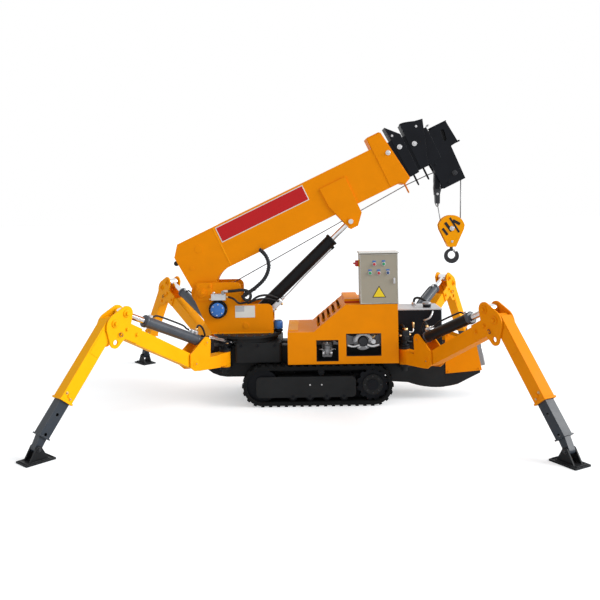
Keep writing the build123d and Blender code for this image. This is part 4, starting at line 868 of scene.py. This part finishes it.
line = [boom_place(*place) for place in HOIST_LINE]
straight_rope("rope_to_boom", DRUM_EXIT, line[0])
straight_rope("rope_to_guide_2", line[0], line[1])
straight_rope("rope_to_guide_3", line[1], line[2])
straight_rope("rope_to_head", line[2], line[3])
head_rope = Piece("rope_to_sheave", "section_4")
head_rope.sweep([Vector(line[3]), Vector(line[4])], ROPE_RADIUS, ROPE_STEEL)
head_rope.done()
straight_rope("fall_front", (SHEAVE[0] + 74, 0, SHEAVE[1]), (BLOCK[0] + 92, 0, BLOCK[1]),
              FRONT_FALL_RADIUS)
straight_rope("fall_rear", (ANCHOR[0], 0, ANCHOR[1] - SOCKET_LENGTH), (BLOCK[0] - 92, 0, BLOCK[1]),
              REAR_FALL_RADIUS)

# Hoses from the turret: one to the boom in a spiral guard, two to the lifting cylinder
BOOM_HOSE = ((-512, -150, 1466), (-470, -190, 1440), (-432, -200, 1370), (-422, -200, 1290),
             (-465, -200, 1185), (-560, -200, 1100), (-644, -200, 1045), (-690, -190, 1010))
GUARD_PITCH = 24
GUARD_RADIUS = 18.5
GUARD_STEPS = 6
hose_line = smooth_line(BOOM_HOSE, 8)
hose = Piece("boom_hose", None)
hose.sweep(hose_line, 17, HOSE, 14)
guard, run = [], 0
for near, far in zip(hose_line, hose_line[1:]):
    along = (far - near).normalized()
    across = along.cross(Vector((0, 1, 0))).normalized()
    square = along.cross(across)
    length = (far - near).length
    for step in range(GUARD_STEPS):
        share = step / GUARD_STEPS
        turn = 2 * pi * (run + length * share) / GUARD_PITCH
        guard.append(near.lerp(far, share) + (across * cos(turn) + square * sin(turn)) * GUARD_RADIUS)
    run += length
hose.sweep(guard, 3.8, LEG_GREY, 6)
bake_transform(hose.done())
lift_hose = Piece("lift_hose", None)
lift_hose.tube(((-612, -196, 960), (-560, -190, 1012), (-480, -150, 1026), (-410, -110, 1014),
                (-350, -92, 985)), 11, HOSE)
lift_hose.tube(((-640, -190, 950), (-560, -176, 985), (-470, -140, 990), (-400, -100, 975),
                (-340, -84, 950)), 9, HOSE)
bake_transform(lift_hose.done())

# Rope socket in a frame at its pin: ring, pin, side plates, wedge, and the rope's dead end
socket = Piece("socket_trim", "socket", axes(at(ANCHOR[0], 0, ANCHOR[1])))
socket.ring((0, 0, -340), (0, 0, 1), 22, 4, STEEL)
socket.rod((0, -32, 0), (0, 32, 0), 16, STEEL)
for side in (-1, 1):
    socket.side_bolt((0, -250), side, 28, 14)
    socket.side_plate(((-18, -60), (18, -60), (22, -200), (-22, -200)), side, 27, 33, BLACK, 2)
socket.plate(((-26, -92), (30, -110), (38, -210), (24, -262), (-30, -262), (-36, -190)), -24, 24,
             FORGED, 5)
socket.tube(((-12, -8, -255), (-20, -12, -320), (-16, -16, -368), (2, -18, -376), (12, -16, -352),
             (16, -10, -290)), ROPE_RADIUS, ROPE_STEEL)
for drop in (285, 318):
    socket.block((2, -6, -drop), (46, 20, 14), STEEL, 3)
socket.done()

# Lifting cylinder: gland, valve and pipe
eye = boom_place(*LIFT_EYE)
lift_rise = atan2(eye[2] - LIFT_PIN[1], eye[0] - LIFT_PIN[0]) * 180 / pi
LIFT = axes(at(LIFT_PIN[0], 0, LIFT_PIN[1]), 0, lift_rise)
lift = Piece("lift_trim", "lift_barrel", LIFT)
lift.turn((1160, 0, 0), (1192, 0, 0), ((0, 62), (4, 66), (24, 66), (30, 58)), DARK_BARREL)
lift.turn((62, 0, 0), (96, 0, 0), ((0, 60), (6, 64), (26, 64), (34, 60)), DARK_BARREL)
lift.block((330, -40, -72), (150, 60, 50), STEEL, 4)
lift.block((270, -42, -80), (44, 70, 44), CAST, 4)
lift.rod((380, -40, -96), (380, -40, -116), 12, BRASS)
lift.rod((300, -40, -96), (300, -40, -110), 10, BRASS)
lift.rod((404, -40, -72), (450, -40, -72), 13, STEEL)
lift.tube(((440, -40, -72), (500, -40, -76), (560, -20, -74), (700, 0, -70), (1000, 0, -70),
           (1120, 0, -70)), 7, STEEL)
lift.block((1128, 0, -66), (36, 30, 26), DARK_BARREL, 4)
lift.tube(((255, -50, -78), (205, -70, -78), (150, -90, -62), (110, -100, -20),
           (60, -110, 40)), 9, HOSE)
lift.done()

# Outriggers: pipes on the jacks, bolts, lock pins and collars
for leg in OUTRIGGERS:
    name = leg.name
    # The rear right and front right outriggers take a lit and a shaded copy of the yellow paint:
    # painted light and painted shade
    plain_lit_or_shaded_paint = LEG_LIT_AND_SHADED_PAINTS.get(name, YELLOW)
    near = -leg.across
    knee = arm_point(leg, KNEE)
    rod_end = arm_point(leg, ROD_PIN)
    jack_rise = atan2(rod_end[1] - CYLINDER_PIN[1], rod_end[0] - CYLINDER_PIN[0]) * 180 / pi
    length = (knee[1] - FOOT_PIN_HEIGHT) / sin(radians(leg.fall))

    bracket = Piece(f"bracket_trim_{name}", f"bracket_{name}", leg_axes(leg))
    for side in (-1, 1):
        for place in (ARM_PIN, CYLINDER_PIN):
            bracket.boss(place, side, 77, 81, 30, plain_lit_or_shaded_paint)
            bracket.side_bolt(place, side, 83.5, 12, BRASS, washer=False)
    bracket.rod((0, 0, 510), (0, 0, 518), 44, BLACK)
    # The rear brackets carry the pipes and hoses between jack and post
    if leg.along < 0:
        for y, drop in ((34, 0), (50, 14)):
            bracket.tube(((246, near * y, 690 - drop), (215, near * y, 688 - drop),
                          (160, near * y, 668 - drop), (100, near * (y - 6), 644 - drop),
                          (28, near * (y - 10), 628 - drop)), 6.5, STEEL)
        for y, drop in ((-24, 6), (-46, 24)):
            bracket.tube(((246, near * y, 688 - drop), (200, near * y, 664 - drop),
                          (150, near * y, 646 - drop), (90, near * (y + 6), 634 - drop),
                          (28, near * (y + 8), 620 - drop)), 10, HOSE)
        for side in (-1, 1):
            bracket.block((250, side * 40, 680), (16, 34, 34), BLACK, 4)
    bracket.block((176, 0, 632), (60, 74, 26), BLACK, 5)
    bracket.block((176, 0, 590), (40, 50, 80), BLACK, 5)
    bracket.done()

    # The rear valves are lower, so that the slewing deck passes over them
    squat = 0.55 if leg.along < 0 else 1
    post_axes = leg_axes(leg) @ Matrix.Translation((0, 0, POST_TOP / 1000 * (1 - squat)))
    post = Piece(f"post_valves_{name}", "chassis", post_axes @ Matrix.Diagonal((1, 1, squat, 1)))
    post.rod((0, 0, POST_TOP), (0, 0, POST_TOP + 20), 52, BLACK)
    post.block((-6, 0, 640), (96, 86, 90), BLACK, 6)
    post.block((-6, 0, 612), (116, 60, 44), DARK_BARREL, 5)
    for side in (-1, 1):
        post.rod((-30, side * 40, 650), (-30, side * 70, 650), 13, STEEL)
        post.rod((20, side * 40, 640), (20, side * 64, 640), 11, BRASS)
        post.tube(((-30, side * 66, 650), (-36, side * 92, 655), (-70, side * 98, 690),
                   (-110, side * 70, 690), (-128, side * 40, 640)), 9, HOSE)
    post.tube(((-6, 10, 684), (-6, 10, 720), (-50, 16, 735), (-110, 30, 700), (-130, 20, 640)),
              9, HOSE)
    post.rod((26, 0, 684), (26, 0, 706), 14, BRASS)
    post.done()

    arm = Piece(f"arm_trim_{name}", f"arm_{name}", leg_axes(leg, ARM_PIN, leg.rise))
    for side in (-1, 1):
        for place in (KNEE, ROD_PIN):
            arm.boss(place, side, ARM_FACE, ARM_FACE + 9, 32, plain_lit_or_shaded_paint)
            arm.side_bolt(place, side, ARM_FACE + 8, 30, plain_lit_or_shaded_paint)
        arm.boss((866, -22), side, ARM_FACE, ARM_FACE + 14, 14, plain_lit_or_shaded_paint)
        arm.ring((878, side * (ARM_FACE + 14), -34), (0.3, 1, 0.2), 17, 2.6, FORGED)
        arm.side_bolt((834, 30), side, ARM_FACE, 22, plain_lit_or_shaded_paint)
        arm.side_bolt((721, 23), side, ARM_FACE, 24, plain_lit_or_shaded_paint)
        arm.ring((892, side * ARM_FACE, -106), (0, 1, 0), 24, 3, plain_lit_or_shaded_paint)
    arm.done()

    jack = Piece(f"jack_trim_{name}", f"jack_barrel_{name}", leg_axes(leg, CYLINDER_PIN, jack_rise))
    jack.turn((662, 0, 0), (694, 0, 0), ((0, 49), (4, 54), (26, 54), (31, 44)), BARREL)
    jack.turn((48, 0, 0), (78, 0, 0), ((0, 47), (5, 51), (24, 51), (30, 47)), BARREL)
    jack.block((118, 0, 58), (76, 44, 36), STEEL, 4)
    for side in (1, -1):
        jack.boss((118, 60), side, 22, 44, 11, STEEL)
    jack.rod((96, 0, 76), (96, 0, 100), 12, BRASS)
    jack.rod((156, 0, 62), (186, 0, 62), 11, STEEL)
    jack.block((640, 0, 54), (38, 30, 26), STEEL, 4)
    jack.tube(((180, 0, 62), (215, 0, 62), (240, 0, 76), (290, 0, 82), (540, 0, 82), (590, 0, 76),
               (605, 0, 58), (625, 0, 56)), 8, HOSE)
    jack.tube(((96, 0, 96), (96, 0, 128), (60, near * 4, 134), (10, near * 8, 100),
               (-20, near * 8, 60)), 9, HOSE)
    jack.done()

    shank = Piece(f"leg_trim_{name}", f"leg_{name}", leg_axes(leg, knee, -leg.fall))
    for side in (-1, 1):
        shank.side_plate(rectangle(96, -30, 300, 58), side, LEG_FACE, LEG_FACE + 4, plain_lit_or_shaded_paint, 2)
        shank.boss((650, 14), side, LEG_FACE + 1, LEG_FACE + 9, 15, plain_lit_or_shaded_paint)
        shank.side_bolt((640, 46), side, LEG_FACE + 1, 14, BRASS)
    shank.rod((668, -64, -6), (668, 64, -6), 8, BRASS)
    shank.done()

    foot = Piece(f"foot_trim_{name}", f"foot_{name}",
                 leg_axes(leg, (knee[0] + length * cos(radians(leg.fall)), 0)))
    for side in (-1, 1):
        foot.side_bolt((0, FOOT_PIN_HEIGHT), side, 47, 22, FORGED)
        foot.block((0, side * 62, 17), (150, 8, 8), FOOT_BLACK, 2)
        foot.block((side * 106, 0, 17), (8, 120, 8), FOOT_BLACK, 2)
    foot.rod((0, -44, FOOT_PIN_HEIGHT), (0, 44, FOOT_PIN_HEIGHT), 13, STEEL)
    foot.done()

# Floor, world and sun
FLOOR_CORNERS = ((-40, -12, 0), (40, -12, 0), (40, 90, 0), (-40, 90, 0))
FLOOR_COLOUR = (0.77, 0.8, 0.825, 1)
FLOOR_GLOW = 0.4
WORLD_LIGHT = 0.68
WORLD_SEEN = 1.0
WHITE = (1, 1, 1, 1)
SUN_STRENGTH = 3.0
SUN_PLACE = (9.3, -1.8, 4.6)
SUN_TARGET = (0, 0, 0.5)
SUN_ANGLE = radians(40)
floor_mesh = bpy.data.meshes.new("floor")
floor_mesh.from_pydata(FLOOR_CORNERS, [], [(0, 1, 2, 3)])
floor = add("floor", floor_mesh)
floor_material, tree, shader = new_material("floor")
shader.inputs["Base Color"].default_value = FLOOR_COLOUR
shader.inputs["Roughness"].default_value = 0.9
shader.inputs["Specular IOR Level"].default_value = 0.1
path = node(tree, "ShaderNodeLightPath")
glow = node(tree, "ShaderNodeMath", operation="MULTIPLY")
glow.inputs[1].default_value = FLOOR_GLOW
tree.links.new(path.outputs["Is Camera Ray"], glow.inputs[0])
shader.inputs["Emission Color"].default_value = WHITE
tree.links.new(glow.outputs[0], shader.inputs["Emission Strength"])
floor_mesh.materials.append(floor_material)

world = bpy.data.worlds.new("studio")
bpy.context.scene.world = world
world.use_nodes = True
tree = world.node_tree
background = tree.nodes["Background"]
path = node(tree, "ShaderNodeLightPath")
seen = path.outputs["Is Camera Ray"]
for ray in ("Is Transmission Ray", "Is Glossy Ray"):
    either = node(tree, "ShaderNodeMath", operation="MAXIMUM")
    tree.links.new(seen, either.inputs[0])
    tree.links.new(path.outputs[ray], either.inputs[1])
    seen = either.outputs[0]
strength = node(tree, "ShaderNodeMapRange")
strength.inputs["To Min"].default_value = WORLD_LIGHT
strength.inputs["To Max"].default_value = WORLD_SEEN
tree.links.new(seen, strength.inputs["Value"])
background.inputs["Color"].default_value = WHITE
tree.links.new(strength.outputs["Result"], background.inputs["Strength"])

light = bpy.data.lights.new("key", "SUN")
light.energy = SUN_STRENGTH
light.angle = SUN_ANGLE
sun = add("key", light)
sun.location = SUN_PLACE
sun.rotation_euler = (Vector(SUN_TARGET) - Vector(SUN_PLACE)).to_track_quat("-Z", "Y").to_euler()

# The camera stands at the photograph's viewing angle. Its fit: place, turn and tilt, and the
# focal length and horizon in pixels of the 600 pixel frame.
CAMERA_PLACE = (-69.5, -7007, 1854)
CAMERA_YAW = radians(-0.51)
CAMERA_ROLL = radians(-0.99)
FOCAL_PIXELS = 704.7
HORIZON = 209.2
FRAME_PIXELS = 600
SENSOR = 36
data = bpy.data.cameras.new("camera")
camera = add("camera", data)
ahead = Vector((sin(CAMERA_YAW), cos(CAMERA_YAW), 0))
right = Vector((cos(CAMERA_YAW), -sin(CAMERA_YAW), 0))
up = Vector((0, 0, 1))
view_x = right * cos(CAMERA_ROLL) + up * sin(CAMERA_ROLL)
view_y = up * cos(CAMERA_ROLL) - right * sin(CAMERA_ROLL)
turn = Matrix((view_x, view_y, -ahead)).transposed().to_4x4()
camera.matrix_world = Matrix.Translation(at(*CAMERA_PLACE)) @ turn
data.sensor_width = SENSOR
data.lens = FOCAL_PIXELS / FRAME_PIXELS * SENSOR
data.shift_x = sin(CAMERA_ROLL) * (HORIZON - FRAME_PIXELS / 2) / FRAME_PIXELS
data.shift_y = cos(CAMERA_ROLL) * (HORIZON - FRAME_PIXELS / 2) / FRAME_PIXELS
data.clip_end = 200
bpy.context.scene.camera = camera
bpy.context.scene.view_settings.view_transform = "Standard"
